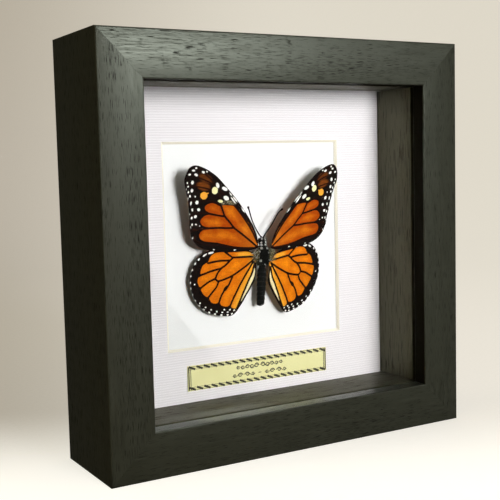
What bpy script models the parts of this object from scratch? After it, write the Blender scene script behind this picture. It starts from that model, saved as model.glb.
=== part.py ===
"""A framed butterfly specimen: a deep wooden box frame with a glazed front, a bevelled mat over a white
backing card, a caption card, and a spread monarch butterfly raised on a small foam block.

Units are metres. The frame stands on the plane Z = 0, centred on X and Y, and faces -Y.
Inside the frame, "depth" is measured back from the front face, and "height" on the specimen is measured
forward from the face of the mat.
"""

import math

import bmesh
import bpy
from mathutils import Matrix, Vector
from mathutils.geometry import interpolate_bezier

# Frame
FRAME_SIDE = 0.170
FRAME_DEPTH = 0.0456
FACE_WIDTH = 0.0186
WALL = 0.0126
LIP = 0.0070
EASED_EDGE = 0.0006
BACK_EDGE = 0.0003
MITRE_GAP = 0.0002
GAP = 0.0003

# What fills the frame, from the front to the back
GLASS = 0.0020
MAT_FACE = 0.0339
MAT = 0.0010
MAT_WINDOW = 0.0880
MAT_WINDOW_X = -0.0008
BACKING = 0.0020
BOARD = 0.0040
FILL_SIDE = FRAME_SIDE - 2 * (WALL + GAP)

# Caption card, placed from the middle of the frame
CARD_WIDTH = 0.0710
CARD_HEIGHT = 0.0108
CARD_THICKNESS = 0.0004
CARD_X = -0.0007
CARD_DROP = 0.0561

# Fastenings on the back
TAB_WIDTH = 0.0090
TAB_LENGTH = 0.0160
TAB_THICKNESS = 0.0006
TAB_IN_WOOD = 0.0060
TAB_SPREAD = 0.0400
HANGER_LENGTH = 0.0450
HANGER_WIDTH = 0.0080
HANGER_PLATE = 0.0008
HANGER_RISE = 0.0015
HANGER_FOOT = 0.0080
HANGER_TEETH = 9
HANGER_TOOTH = 0.0018
HANGER_BELOW_TOP = 0.0300
RIVET_HEAD = 0.0017
RIVET_SHANK = 0.0008
RIVET_SUNK = 0.0020

# Specimen
WING_THICKNESS = 0.0004
FOREWING_HEIGHT = 0.0062
HINDWING_HEIGHT = 0.0048
BODY_SEGMENTS = 16
FOAM_WIDTH = 0.0036
FOAM_LENGTH = 0.0060

MIDDLE = FRAME_SIDE / 2
FRONT = -FRAME_DEPTH / 2
GLASS_FRONT = LIP + GAP
GLASS_BACK = GLASS_FRONT + GLASS
BACKING_FACE = MAT_FACE + MAT + GAP
BOARD_FACE = BACKING_FACE + BACKING + GAP
BOARD_BACK = BOARD_FACE + BOARD
MM = 0.001


def clear_scene():
    for obj in list(bpy.data.objects):
        bpy.data.objects.remove(obj, do_unlink=True)


def material(name, colour, roughness, metallic=0.0, alpha=1.0):
    made = bpy.data.materials.new(name)
    made.use_nodes = True
    shader = made.node_tree.nodes["Principled BSDF"]
    shader.inputs["Base Color"].default_value = (*colour, 1.0)
    shader.inputs["Roughness"].default_value = roughness
    shader.inputs["Metallic"].default_value = metallic
    shader.inputs["Alpha"].default_value = alpha
    made.diffuse_color = (*colour, alpha)
    return made


def node(name, points, faces, finish, smooth=False):
    """One closed piece from its points and faces."""
    mesh = bpy.data.meshes.new(name)
    mesh.from_pydata([tuple(p) for p in points], [], faces)
    bm = bmesh.new()
    bm.from_mesh(mesh)
    bmesh.ops.remove_doubles(bm, verts=bm.verts, dist=1e-7)
    bmesh.ops.recalc_face_normals(bm, faces=bm.faces)
    bm.to_mesh(mesh)
    bm.free()
    mesh.materials.append(finish)
    if smooth:
        mesh.shade_smooth()
        mesh.set_sharp_from_angle(angle=math.radians(40))
    piece = bpy.data.objects.new(name, mesh)
    bpy.context.scene.collection.objects.link(piece)
    return piece


def sweep(name, rings, finish, smooth=False):
    """A closed piece through rings of equal length, with a flat cap on its first and last ring."""
    count = len(rings[0])
    points = [p for ring in rings for p in ring]
    faces = [tuple(range(count)), tuple((len(rings) - 1) * count + i for i in range(count))]
    for r in range(len(rings) - 1):
        for i in range(count):
            j = (i + 1) % count
            faces.append((r * count + i, r * count + j, (r + 1) * count + j, (r + 1) * count + i))
    return node(name, points, faces, finish, smooth)


def box(name, low, high, finish):
    corners = [Vector((x, y, z)) for x, y, z in (
        (low[0], low[1], low[2]), (high[0], low[1], low[2]),
        (high[0], low[1], high[2]), (low[0], low[1], high[2]))]
    back = [Vector((c.x, high[1], c.z)) for c in corners]
    return sweep(name, [corners, back], finish)


def cut(piece, cutter):
    """Takes a hidden cutter out of a piece."""
    cutter.hide_render = True
    cutter.display_type = "WIRE"
    hole = piece.modifiers.new("cut " + cutter.name, "BOOLEAN")
    hole.operation = "DIFFERENCE"
    hole.object = cutter


def smooth_outline(points, steps):
    """A closed curve through the points, with steps short sides between each pair."""
    count = len(points)
    outline = []
    for i in range(count):
        before, start, end, after = (points[(i + k) % count] for k in (-1, 0, 1, 2))
        a, b, c, d = (Vector((*p, 0.0)) for p in (before, start, end, after))
        reach = (c - b).length / 3
        out = (c - a).normalized() * reach
        into = (d - b).normalized() * reach
        outline += interpolate_bezier(b, b + out, c - into, c, steps + 1)[:-1]
    return [(p.x, p.y) for p in outline]


# ---------------------------------------------------------------- frame

def quarter_turn(quarters):
    """Turns a piece made for the bottom side to another side of the frame."""
    centre = Vector((0.0, 0.0, MIDDLE))
    turn = Matrix.Rotation(quarters * math.pi / 2, 4, "Y")
    return Matrix.Translation(centre) @ turn @ Matrix.Translation(-centre)


def turned(piece, quarters):
    piece.data.transform(quarter_turn(quarters))
    return piece


SIDES = {"bottom": 0, "left": 1, "top": 2, "right": 3}


def rail_profile():
    """The rail's section as (in from the outer edge, depth): face with eased edges, lip and rebate."""
    return [
        (EASED_EDGE, 0.0), (FACE_WIDTH - EASED_EDGE, 0.0), (FACE_WIDTH, EASED_EDGE),
        (FACE_WIDTH, LIP), (WALL, LIP), (WALL, FRAME_DEPTH),
        (BACK_EDGE, FRAME_DEPTH), (0.0, FRAME_DEPTH - BACK_EDGE), (0.0, EASED_EDGE),
    ]


def tab_box(name, along, grow, finish):
    """A flat steel point of the bottom side: TAB_IN_WOOD of it is in the rail, the rest holds the board."""
    inner = WALL - TAB_IN_WOOD + TAB_LENGTH
    low = (along - TAB_WIDTH / 2 - grow, FRONT + BOARD_BACK + GAP - grow, WALL - TAB_IN_WOOD - grow)
    high = (along + TAB_WIDTH / 2 + grow, FRONT + BOARD_BACK + GAP + TAB_THICKNESS + grow, inner + grow)
    return box(name, low, high, finish)


def build_frame(wood, steel):
    for side, quarters in SIDES.items():
        ends = []
        for sign in (-1, 1):
            half = FRAME_SIDE / 2 - MITRE_GAP
            ends.append([Vector((sign * (half - u), FRONT + depth, u)) for u, depth in rail_profile()])
        rail = turned(sweep("rail_" + side, ends, wood), quarters)
        for hand, along in (("a", -TAB_SPREAD), ("b", TAB_SPREAD)):
            turned(tab_box(f"tab_{side}_{hand}", along, 0.0, steel), quarters)
            cut(rail, turned(tab_box(f"slot_{side}_{hand}", along, GAP, steel), quarters))


# ---------------------------------------------------------------- what fills the frame

def panel(name, side, depth, thickness, finish):
    """A square sheet in the middle of the frame."""
    half = side / 2
    start = FRONT + depth
    return box(name, (-half, start, MIDDLE - half), (half, start + thickness, MIDDLE + half), finish)


def build_spacers(wood):
    """Four strips between the glass and the mat. The upright ones stand between the level ones."""
    start, end = GLASS_BACK + GAP, MAT_FACE - GAP
    low, high = WALL + GAP, FACE_WIDTH
    for side, quarters in SIDES.items():
        half = FILL_SIDE / 2 if side in ("bottom", "top") else FRAME_SIDE / 2 - FACE_WIDTH - GAP
        strip = box("spacer_" + side, (-half, FRONT + start, low), (half, FRONT + end, high), wood)
        turned(strip, quarters)


def build_mat(paper):
    """A square sheet with a window whose edge slopes back at 45 degrees, so its cream core shows."""
    points = []
    for depth, window in ((0.0, MAT_WINDOW / 2), (MAT, MAT_WINDOW / 2 - MAT)):
        for half, centre in ((FILL_SIDE / 2, 0.0), (window, MAT_WINDOW_X)):
            for sx, sz in ((-1, -1), (1, -1), (1, 1), (-1, 1)):
                points.append((centre + sx * half, FRONT + MAT_FACE + depth, MIDDLE + sz * half))
    faces = []
    for i in range(4):
        j = (i + 1) % 4
        faces += [(i, j, 4 + j, 4 + i), (8 + i, 8 + j, 12 + j, 12 + i)]
        faces += [(i, j, 8 + j, 8 + i), (4 + i, 4 + j, 12 + j, 12 + i)]
    return node("mat_board", points, faces, paper)


def build_caption_card(card):
    back = FRONT + MAT_FACE - GAP
    centre = MIDDLE - CARD_DROP
    return box("caption_card", (CARD_X - CARD_WIDTH / 2, back - CARD_THICKNESS, centre - CARD_HEIGHT / 2),
               (CARD_X + CARD_WIDTH / 2, back, centre + CARD_HEIGHT / 2), card)


def disc(name, x, z, radius, start, end, finish):
    """A short round bar along Y."""
    ring = [(x + radius * math.cos(a), z + radius * math.sin(a)) for a in
            (2 * math.pi * i / BODY_SEGMENTS for i in range(BODY_SEGMENTS))]
    rings = [[Vector((px, y, pz)) for px, pz in ring] for y in (start, end)]
    return sweep(name, rings, finish, smooth=True)


def build_hanger(board, steel):
    """A saw-toothed plate, raised off the board between two feet, each held by a rivet."""
    base = FRONT + BOARD_BACK + GAP
    level = FRAME_SIDE - HANGER_BELOW_TOP
    half = HANGER_LENGTH / 2
    foot = half - HANGER_FOOT
    pitch = 2 * (foot - HANGER_RISE) / HANGER_TEETH
    lower = [(-half, 0.0), (-foot, 0.0)]
    for i in range(HANGER_TEETH):
        left = -foot + HANGER_RISE + i * pitch
        lower += [(left, 0.0), (left + pitch / 2, HANGER_TOOTH)]
    lower += [(foot - HANGER_RISE, 0.0), (foot, 0.0), (half, 0.0)]

    def lift(x):
        return HANGER_RISE * min(1.0, max(0.0, (foot - abs(x)) / HANGER_RISE))

    rings = []
    for x, bite in lower:
        y = base + lift(x)
        rings.append([
            Vector((x, y, level + bite)), Vector((x, y + HANGER_PLATE, level + bite)),
            Vector((x, y + HANGER_PLATE, level + HANGER_WIDTH)), Vector((x, y, level + HANGER_WIDTH)),
        ])
    hanger = sweep("hanger", rings, steel)
    for hand, sign in (("left", -1), ("right", 1)):
        x, z = sign * (half - HANGER_FOOT / 2), level + HANGER_WIDTH / 2
        head = base + HANGER_PLATE + GAP
        start = FRONT + BOARD_BACK - RIVET_SUNK
        rivet = disc("rivet_" + hand, x, z, RIVET_SHANK, start, head + HANGER_PLATE / 2, steel)
        cap = disc("cap_" + hand, x, z, RIVET_HEAD, head, head + HANGER_PLATE, steel)
        joined = rivet.modifiers.new("head", "BOOLEAN")
        joined.operation = "UNION"
        joined.object = cap
        cap.hide_render = True
        cap.display_type = "WIRE"
        hole = disc("rivet_hole_" + hand, x, z, RIVET_SHANK + GAP, start - GAP, head, steel)
        cut(hanger, hole)
        cut(board, hole)


# ---------------------------------------------------------------- specimen

# Wing outlines in millimetres on a left wing seen from above: out from the body's middle, and up.
FOREWING = [
    (3.4, 0.6), (4.6, 5.0), (7.6, 10.6), (12.9, 17.9), (21.6, 27.4), (26.8, 31.5), (31.3, 33.6),
    (34.6, 34.0), (37.0, 32.3), (38.3, 29.0), (38.2, 25.8), (36.9, 19.9), (36.2, 13.0), (35.4, 6.0),
    (33.8, 2.4),
    (30.4, -0.4), (24.0, -2.2), (14.0, -3.0), (4.2, -2.4),
]
HINDWING = [
    (3.6, -5.0), (9.0, -2.4), (18.0, -1.4), (26.0, -2.0), (30.4, -4.4), (33.2, -8.2), (34.6, -13.6),
    (33.8, -19.6), (31.0, -24.8), (26.2, -28.6), (20.3, -30.4), (15.4, -30.6), (12.2, -27.8),
    (7.8, -21.8), (3.8, -15.2), (3.4, -9.6),
]
# The left wings keep the outline. The right pair is set a little steeper, so it leans in and sits lower.
FOREWING_SET = {
    "left": ((-1.0, 0.0, 0.0), (0.0, 1.0, 0.0)),
    "right": ((0.86, 0.144, 0.616), (0.015, 0.974, -0.591)),
}
HINDWING_SET = {
    "left": ((-1.0, 0.0, 0.0), (0.0, 1.0, 0.0)),
    "right": ((0.898, 0.088, 0.732), (0.119, 1.016, -2.711)),
}


def forewing_height(x, z):
    return FOREWING_HEIGHT - 0.03 * abs(x) + 0.10 * z


def hindwing_height(x, z):
    return HINDWING_HEIGHT - 0.06 * abs(x) + 0.03 * (z + 3 * MM)


def on_mat(x, z, height):
    """A point given from the middle of the frame, at a height in front of the mat."""
    return Vector((x, FRONT + MAT_FACE - height, MIDDLE + z))


def build_wing(name, outline, placing, height_at, finish):
    (ax, bx, cx), (az, bz, cz) = placing
    rings = [[], []]
    for u, v in smooth_outline(outline, 3):
        x = (ax * u + bx * v + cx) * MM
        z = (az * u + bz * v + cz) * MM
        rings[0].append(on_mat(x, z, height_at(x, z) + WING_THICKNESS / 2))
        rings[1].append(on_mat(x, z, height_at(x, z) - WING_THICKNESS / 2))
    return sweep(name, rings, finish)


# The body from head to tail in millimetres: level, sideways place, half width, height of its middle and
# half depth.
BODY = [
    (2.3, -0.3, 0.5, 4.6, 0.5), (1.9, -0.3, 1.3, 4.6, 1.1), (0.9, -0.3, 1.75, 4.5, 1.4),
    (-0.2, -0.2, 1.5, 4.4, 1.3), (-0.9, -0.1, 1.2, 4.2, 1.2), (-1.9, 0.1, 1.9, 4.1, 1.8),
    (-4.0, 0.2, 2.6, 4.0, 2.3), (-6.8, 0.2, 2.7, 3.9, 2.3), (-9.0, 0.0, 2.2, 3.8, 1.9),
    (-10.4, -0.1, 1.4, 3.7, 1.4), (-12.2, -0.2, 1.6, 3.6, 1.6), (-16.0, -0.4, 1.8, 3.4, 1.75),
    (-21.0, -0.6, 1.8, 3.2, 1.7), (-25.4, -0.8, 1.8, 3.0, 1.6), (-27.0, -1.0, 1.4, 2.9, 1.3),
    (-27.8, -1.1, 0.6, 2.9, 0.6),
]
# Each antenna: sideways place, level and height of points on it, head end first.
ANTENNA = {
    "left": [
        (-1.1, 2.4, 5.3), (-2.7, 4.2, 5.6), (-4.8, 7.4, 6.0), (-6.4, 10.8, 6.3), (-7.4, 13.9, 6.5),
        (-8.2, 16.1, 6.6),
    ],
    "right": [
        (0.1, 2.6, 5.3), (1.4, 4.6, 5.6), (3.4, 7.1, 6.0), (5.4, 10.2, 6.3), (7.2, 12.8, 6.5),
        (9.4, 14.4, 6.6),
    ],
}
ANTENNA_RADII = [0.20, 0.16, 0.16, 0.18, 0.26, 0.44, 0.20]


def ring_about(centre, across, along_depth, half_width, half_depth, count):
    return [
        centre + across * (half_width * math.cos(a)) + along_depth * (half_depth * math.sin(a))
        for a in (2 * math.pi * i / count for i in range(count))
    ]


def build_body(finish):
    rings = []
    for z, x, half_width, height, half_depth in BODY:
        centre = on_mat(x * MM, z * MM, height * MM)
        rings.append(ring_about(
            centre, Vector((1, 0, 0)), Vector((0, 1, 0)), half_width * MM, half_depth * MM, BODY_SEGMENTS))
    return sweep("body", rings, finish, smooth=True)


def build_antenna(side, finish):
    route = [on_mat(x * MM, z * MM, h * MM) for x, z, h in ANTENNA[side]]
    last = route[-1] - route[-2]
    route.insert(-1, route[-1] - last.normalized() * (1.2 * MM))
    rings = []
    for i, (centre, radius) in enumerate(zip(route, ANTENNA_RADII, strict=True)):
        way = (route[min(i + 1, len(route) - 1)] - route[max(i - 1, 0)]).normalized()
        across = way.cross(Vector((0, 1, 0))).normalized()
        rings.append(ring_about(centre, across, way.cross(across), radius * MM, radius * MM, 8))
    return sweep("antenna_" + side, rings, finish, smooth=True)


def build_foam(finish):
    """The block of foam that holds the thorax off the backing card."""
    back = FRONT + BACKING_FACE - GAP
    thorax_back = FRONT + MAT_FACE - (BODY[7][3] - BODY[7][4]) * MM
    level = MIDDLE + BODY[7][0] * MM
    return box("foam_block", (-FOAM_WIDTH / 2, thorax_back + 1.5 * GAP, level - FOAM_LENGTH / 2),
               (FOAM_WIDTH / 2, back, level + FOAM_LENGTH / 2), finish)


clear_scene()
black_wood = material("black stained wood", (0.012, 0.012, 0.011), 0.45)
white_paper = material("white mat board", (0.86, 0.85, 0.88), 0.9)
white_card = material("white backing card", (0.92, 0.92, 0.91), 0.7)
cream_card = material("cream caption card", (0.88, 0.85, 0.58), 0.7)
brown_board = material("brown hardboard", (0.20, 0.11, 0.06), 0.8)
glazing = material("clear glass", (0.95, 0.97, 0.96), 0.02, alpha=0.15)
zinc_steel = material("zinc plated steel", (0.62, 0.62, 0.60), 0.35, metallic=1.0)
foam = material("white foam", (0.85, 0.85, 0.83), 0.9)
orange_wing = material("orange wing scales", (0.70, 0.16, 0.01), 0.7)
black_hair = material("black body hair", (0.008, 0.007, 0.007), 0.8)

build_frame(black_wood, zinc_steel)
panel("glass_pane", FILL_SIDE, GLASS_FRONT, GLASS, glazing)
build_spacers(black_wood)
build_mat(white_paper)
build_caption_card(cream_card)
panel("backing_card", FILL_SIDE, BACKING_FACE, BACKING, white_card)
build_hanger(panel("back_board", FILL_SIDE, BOARD_FACE, BOARD, brown_board), zinc_steel)
for hand in ("left", "right"):
    build_wing("forewing_" + hand, FOREWING, FOREWING_SET[hand], forewing_height, orange_wing)
    build_wing("hindwing_" + hand, HINDWING, HINDWING_SET[hand], hindwing_height, orange_wing)
    build_antenna(hand, black_hair)
build_body(black_hair)
build_foam(foam)
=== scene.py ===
"""The looks of a framed butterfly specimen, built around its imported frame. Sizes are in metres unless a
name or a comment says millimetres. X runs across the frame, Y from its face to its back, and Z up."""
import math

import bmesh
import bpy
import numpy as np
from mathutils import Matrix, Vector
from mathutils.geometry import delaunay_2d_cdt


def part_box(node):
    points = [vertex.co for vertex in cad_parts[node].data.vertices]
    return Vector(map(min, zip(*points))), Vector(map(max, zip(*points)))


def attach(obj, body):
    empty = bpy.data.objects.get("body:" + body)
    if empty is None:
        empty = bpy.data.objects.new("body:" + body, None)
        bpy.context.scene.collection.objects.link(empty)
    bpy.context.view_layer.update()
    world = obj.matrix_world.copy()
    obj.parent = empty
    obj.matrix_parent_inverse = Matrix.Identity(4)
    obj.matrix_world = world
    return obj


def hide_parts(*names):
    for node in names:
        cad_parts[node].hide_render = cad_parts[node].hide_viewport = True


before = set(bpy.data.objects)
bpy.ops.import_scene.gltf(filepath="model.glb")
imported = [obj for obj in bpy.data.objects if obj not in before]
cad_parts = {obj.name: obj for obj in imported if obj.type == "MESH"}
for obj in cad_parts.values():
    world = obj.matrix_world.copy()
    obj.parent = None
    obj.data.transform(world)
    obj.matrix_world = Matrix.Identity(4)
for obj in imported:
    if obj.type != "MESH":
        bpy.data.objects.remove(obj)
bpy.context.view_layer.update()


# ================================================================ rails
# Four rails of an open-pored hardwood, planed with a lip that holds the glass and a rebate behind it.
# They are mitred, glued and sanded, so the long edges are just eased, then stained black and given one
# thin satin coat that sinks into the pores and leaves them open.

MM = 0.001
rail_low, rail_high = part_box("rail_bottom")
front, back = rail_low.y, rail_high.y
face_width = rail_high.z
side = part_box("rail_top")[1].z
middle = side / 2
glass_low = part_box("glass_pane")[0]
FITTING_GAP = 0.3 * MM
wall = glass_low.z - FITTING_GAP
lip = glass_low.y - front - FITTING_GAP
MITRE_HAIRLINE = 0.01 * MM
FACE_ROUND = 0.6 * MM
LIP_ROUND = 0.25 * MM
BACK_ROUND = 0.4 * MM
SIDES = {"bottom": 0, "left": 1, "top": 2, "right": 3}


def linear(hex_colour):
    """An sRGB hex value as the linear colour that a shader takes."""
    channels = [int(hex_colour[i:i + 2], 16) / 255 for i in (1, 3, 5)]
    return (*(c / 12.92 if c <= 0.04045 else ((c + 0.055) / 1.055) ** 2.4 for c in channels), 1.0)


def add(tree, kind, inputs=None, out=0, **settings):
    """Adds a node and gives one of its outputs. Settings are its properties, and inputs are its sockets,
    each with a value, a hex colour or another node's output."""
    made = tree.nodes.new("ShaderNode" + kind)
    for name, value in settings.items():
        setattr(made, name, value)
    for name, value in (inputs or {}).items():
        if isinstance(value, bpy.types.NodeSocket):
            tree.links.new(value, made.inputs[name])
        else:
            made.inputs[name].default_value = linear(value) if isinstance(value, str) else value
    return made.outputs[out] if made.outputs else None


def new_material(name):
    """An empty material and its node tree."""
    made = bpy.data.materials.new(name)
    made.use_nodes = True
    made.node_tree.nodes.clear()
    return made, made.node_tree


def new_piece(name, points, faces, *materials, sharp=35):
    """A mesh object, shaded smooth except where its faces meet at more than the sharp angle."""
    mesh = bpy.data.meshes.new(name)
    mesh.from_pydata(points, [], faces)
    for finish in materials:
        mesh.materials.append(finish)
    mesh.shade_smooth()
    mesh.set_sharp_from_angle(angle=math.radians(sharp))
    piece = bpy.data.objects.new(name, mesh)
    bpy.context.scene.collection.objects.link(piece)
    return piece


def store(piece, name, values, kind="FLOAT"):
    """Keeps a number or a vector for each point of the mesh, for the material to read."""
    layer = piece.data.attributes.new(name, kind, "POINT")
    field = "value" if kind == "FLOAT" else "vector"
    layer.data.foreach_set(field, np.ravel(np.asarray(values, dtype=np.float32)))


def settle(piece, slot, *nodes):
    """The piece rides on the frame and stands for its CAD nodes, which it hides. The slot is not used."""
    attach(piece, "root")
    if nodes:
        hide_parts(*nodes)


def rounded(corners, steps=4):
    """A section's points, from corners given as (in from the edge, depth, radius of the round)."""
    points = []
    for i, (u, depth, radius) in enumerate(corners):
        corner = Vector((u, depth))
        before = Vector(corners[i - 1][:2])
        after = Vector(corners[(i + 1) % len(corners)][:2])
        if radius == 0:
            points.append(corner)
            continue
        start = corner + (before - corner).normalized() * radius
        end = corner + (after - corner).normalized() * radius
        for k in range(steps + 1):
            t = k / steps
            points.append(start * (1 - t) ** 2 + corner * 2 * t * (1 - t) + end * t ** 2)
    return points


def quarter_turn(quarters):
    """Turns what is made for the bottom side to another side of the frame."""
    centre = Vector((0.0, 0.0, middle))
    turn = Matrix.Rotation(quarters * math.pi / 2, 4, "Y")
    return Matrix.Translation(centre) @ turn @ Matrix.Translation(-centre)


def strip(name, section, half_length, quarters, *finishes):
    """A length of wood along one side. half_length gives half its length at each distance in from the
    edge. A second finish goes on the face that looks into the opening."""
    rings = [[(sign * half_length(u), front + depth, u) for u, depth in section] for sign in (-1, 1)]
    count = len(section)
    faces = [tuple(range(count)), tuple(range(2 * count - 1, count - 1, -1))]
    for i in range(count):
        j = (i + 1) % count
        faces.append((i, i + count, j + count, j))
    points = rings[0] + rings[1]
    piece = new_piece(name, points, faces, *finishes, sharp=50)
    innermost = max(u for u, depth in section) - 0.01 * MM
    for face in piece.data.polygons:
        inside = len(finishes) > 1 and all(piece.data.vertices[v].co.z > innermost for v in face.vertices)
        face.material_index = int(inside)
    bm = bmesh.new()
    bm.from_mesh(piece.data)
    bmesh.ops.recalc_face_normals(bm, faces=bm.faces)
    bm.to_mesh(piece.data)
    bm.free()
    shift = Vector((0.31, 0.17, 0.23)) * quarters
    store(piece, "grain", [Vector(p) + shift for p in points], "FLOAT_VECTOR")
    piece.data.transform(quarter_turn(quarters))
    return piece


def stained_wood(name, pale, dark, sheen, shine, roughness, pore_length, pore_width):
    """Open-pored wood under black stain: a smooth skin with short dull pores along the grain, which show
    as dark dashes where the face catches the light. Real pores are 0.1 mm wide, and are drawn as wide as
    they need to show."""
    finish, tree = new_material(name)
    grain = add(tree, "Attribute", attribute_name="grain", out="Vector")
    pore_scale = (1 / pore_length, 1 / pore_width, 1 / pore_width)
    pore_place = add(tree, "VectorMath", {0: grain, 1: pore_scale}, operation="MULTIPLY")
    pore_noise = add(tree, "TexNoise", {"Vector": pore_place, "Scale": 1.0, "Detail": 1.0})
    figure_place = add(tree, "VectorMath", {0: grain, 1: (14.0, 160.0, 160.0)}, operation="MULTIPLY")
    figure = add(tree, "TexNoise", {"Vector": figure_place, "Scale": 1.0, "Detail": 3.0})
    fibre_place = add(tree, "VectorMath", {0: grain, 1: (60.0, 1400.0, 1400.0)}, operation="MULTIPLY")
    fibre = add(tree, "TexNoise", {"Vector": fibre_place, "Scale": 1.0, "Detail": 2.0})
    edge = add(tree, "MapRange", {"Value": figure, "From Min": 0.3, "From Max": 0.7,
                                  "To Min": 0.66, "To Max": 0.56})
    pore_depth = add(tree, "Math", {0: pore_noise, 1: edge}, operation="SUBTRACT")
    pore = add(tree, "MapRange", {"Value": pore_depth, "From Min": 0.0, "From Max": 0.035})
    tone = add(tree, "Mix", {0: fibre, 6: dark, 7: pale}, data_type="RGBA", out=2)
    colour = add(tree, "Mix", {0: pore, 6: tone, 7: "#090908"}, data_type="RGBA", out=2)
    dull = add(tree, "MapRange", {"Value": fibre, "From Min": 0.3, "From Max": 0.7,
                                  "To Min": roughness - 0.05, "To Max": roughness + 0.06})
    dull_pore = add(tree, "Math", {0: pore, 1: 0.55, 2: dull}, operation="MULTIPLY_ADD")
    relief = add(tree, "Math", {0: pore, 1: -1.0, 2: fibre}, operation="MULTIPLY_ADD")
    bump = add(tree, "Bump", {"Height": relief, "Strength": 0.22, "Distance": 0.05 * MM})
    coat = add(tree, "BsdfPrincipled", {"Base Color": colour, "Roughness": dull_pore, "IOR": 1.5,
                                        "Specular IOR Level": shine, "Specular Tint": sheen,
                                        "Normal": bump})
    add(tree, "OutputMaterial", {"Surface": coat})
    return finish


# The satin coat glows softly under a lamp, and the open pores break the glow into dark dashes. The lip of
# the other three rails faces into the opening. It is dull and nearly black, and its darker colour is
# painted shade for that recess.
rail_wood = stained_wood("black stained ayous, satin coat", pale="#2a2f29", dark="#171a15", sheen="#f3ffe8",
                         shine=1.0, roughness=0.34, pore_length=5 * MM, pore_width=0.2 * MM)
# The lip finish is dull, and its darker colours are painted shade.
lip_wood_painted_shade = stained_wood("black stained ayous, planed lip, painted shade", pale="#161713", dark="#0c0d0a", sheen="#ffffff",
                        shine=0.1, roughness=0.8, pore_length=5 * MM, pore_width=0.2 * MM)
rail_section = rounded([
    (0.0, 0.0, FACE_ROUND), (face_width, 0.0, FACE_ROUND), (face_width, lip, LIP_ROUND), (wall, lip, 0.0),
    (wall, back - front, 0.0), (0.0, back - front, BACK_ROUND),
])
for name, quarters in SIDES.items():
    # The top, left and right rails take the lip finish, whose darker colour is painted shade.
    finishes = (rail_wood,) if name == "bottom" else (rail_wood, lip_wood_painted_shade)
    rail = strip("rail_wood_" + name, rail_section, lambda u: side / 2 - u - MITRE_HAIRLINE, quarters,
                 *finishes)
    settle(rail, "frame_wood", "rail_" + name)


# ================================================================ glass
# One pane of clear float glass, 2 mm thick, dropped in from the back against the lip. Its arrises are
# hidden in the rebate. Light for shadows goes straight through it.

def dress(node_name, finish):
    """Gives a CAD node its finish."""
    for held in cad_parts[node_name].material_slots:
        held.material = finish


# Polished float glass is clear and even: it shows by what it mirrors and by a very faint green cast.
float_glass, tree = new_material("clear float glass, polished")
drawn = add(tree, "TexNoise", {"Scale": 30.0, "Detail": 0.0})
ripple = add(tree, "Bump", {"Height": drawn, "Strength": 0.02, "Distance": 0.01 * MM})
pane = add(tree, "BsdfPrincipled", {"Base Color": "#fbfffc", "Roughness": 0.0, "IOR": 1.5,
                                    "Transmission Weight": 1.0, "Normal": ripple})
clear = add(tree, "BsdfTransparent", {"Color": "#fbfefc"})
shadow_ray = add(tree, "LightPath", out="Is Shadow Ray")
either = add(tree, "MixShader", {0: shadow_ray, 1: pane, 2: clear})
add(tree, "OutputMaterial", {"Surface": either})
dress("glass_pane", float_glass)


# ================================================================ spacers
# Strips of the same wood, stained but not coated, which press the glass to the lip and hold it off the
# mat. The level pair runs the full width and the upright pair stands between them.

spacer_low, spacer_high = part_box("spacer_bottom")
# Stain alone is duller and a little browner than the coated rails, with broad soft streaks of grain.
spacer_wood = stained_wood("black stained ayous, uncoated", pale="#1d1b12", dark="#0d0c08", sheen="#fff9c4",
                           shine=0.85, roughness=0.55, pore_length=9 * MM, pore_width=0.5 * MM)
spacer_section = rounded([
    (spacer_low.z, spacer_low.y - front, 0.2 * MM), (spacer_high.z, spacer_low.y - front, 0.2 * MM),
    (spacer_high.z, spacer_high.y - front, 0.2 * MM), (spacer_low.z, spacer_high.y - front, 0.2 * MM),
])
for name, quarters in SIDES.items():
    low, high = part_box("spacer_" + name)
    half = max(high.x - low.x, high.z - low.z) / 2
    spacer = strip("spacer_wood_" + name, spacer_section, lambda u: half, quarters, spacer_wood)
    settle(spacer, "spacer_wood", "spacer_" + name)


# ================================================================ mat
# White mat board faced with a laid paper, whose lines are about a millimetre apart. The window is cut at
# 45 degrees with a blade, so the cream core shows as a thin bevel all round.

mat_low, mat_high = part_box("mat_board")
WINDOW = 88 * MM
WINDOW_X = -0.8 * MM
LAID_PITCH = 1.05 * MM

# Pressed laid paper is matt, with faint level ribs and a fine tooth.
laid_paper, tree = new_material("white laid mat paper, pressed")
place = add(tree, "TexCoord", out="Object")
level = add(tree, "SeparateXYZ", {0: place}, out="Z")
stretched = add(tree, "VectorMath", {0: place, 1: (60.0, 60.0, 900.0)}, operation="MULTIPLY")
drift = add(tree, "TexNoise", {"Vector": stretched, "Scale": 1.0, "Detail": 2.0})
phase = add(tree, "Math", {0: level, 1: 2 * math.pi / LAID_PITCH}, operation="MULTIPLY")
wander = add(tree, "Math", {0: drift, 1: 4.0, 2: phase}, operation="MULTIPLY_ADD")
rib = add(tree, "Math", {0: wander}, operation="SINE")
rib_light = add(tree, "MapRange", {"Value": rib, "From Min": -1.0, "From Max": 1.0})
fibres = add(tree, "TexNoise", {"Vector": place, "Scale": 2600.0, "Detail": 3.0})
paper = add(tree, "Mix", {0: rib_light, 6: "#ebe7e9", 7: "#f7f3f5"}, data_type="RGBA", out=2)
relief = add(tree, "Math", {0: fibres, 1: 0.35, 2: rib}, operation="MULTIPLY_ADD")
bump = add(tree, "Bump", {"Height": relief, "Strength": 0.5, "Distance": 0.03 * MM})
sheet = add(tree, "BsdfPrincipled", {"Base Color": paper, "Roughness": 0.9, "Normal": bump})
add(tree, "OutputMaterial", {"Surface": sheet})

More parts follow.
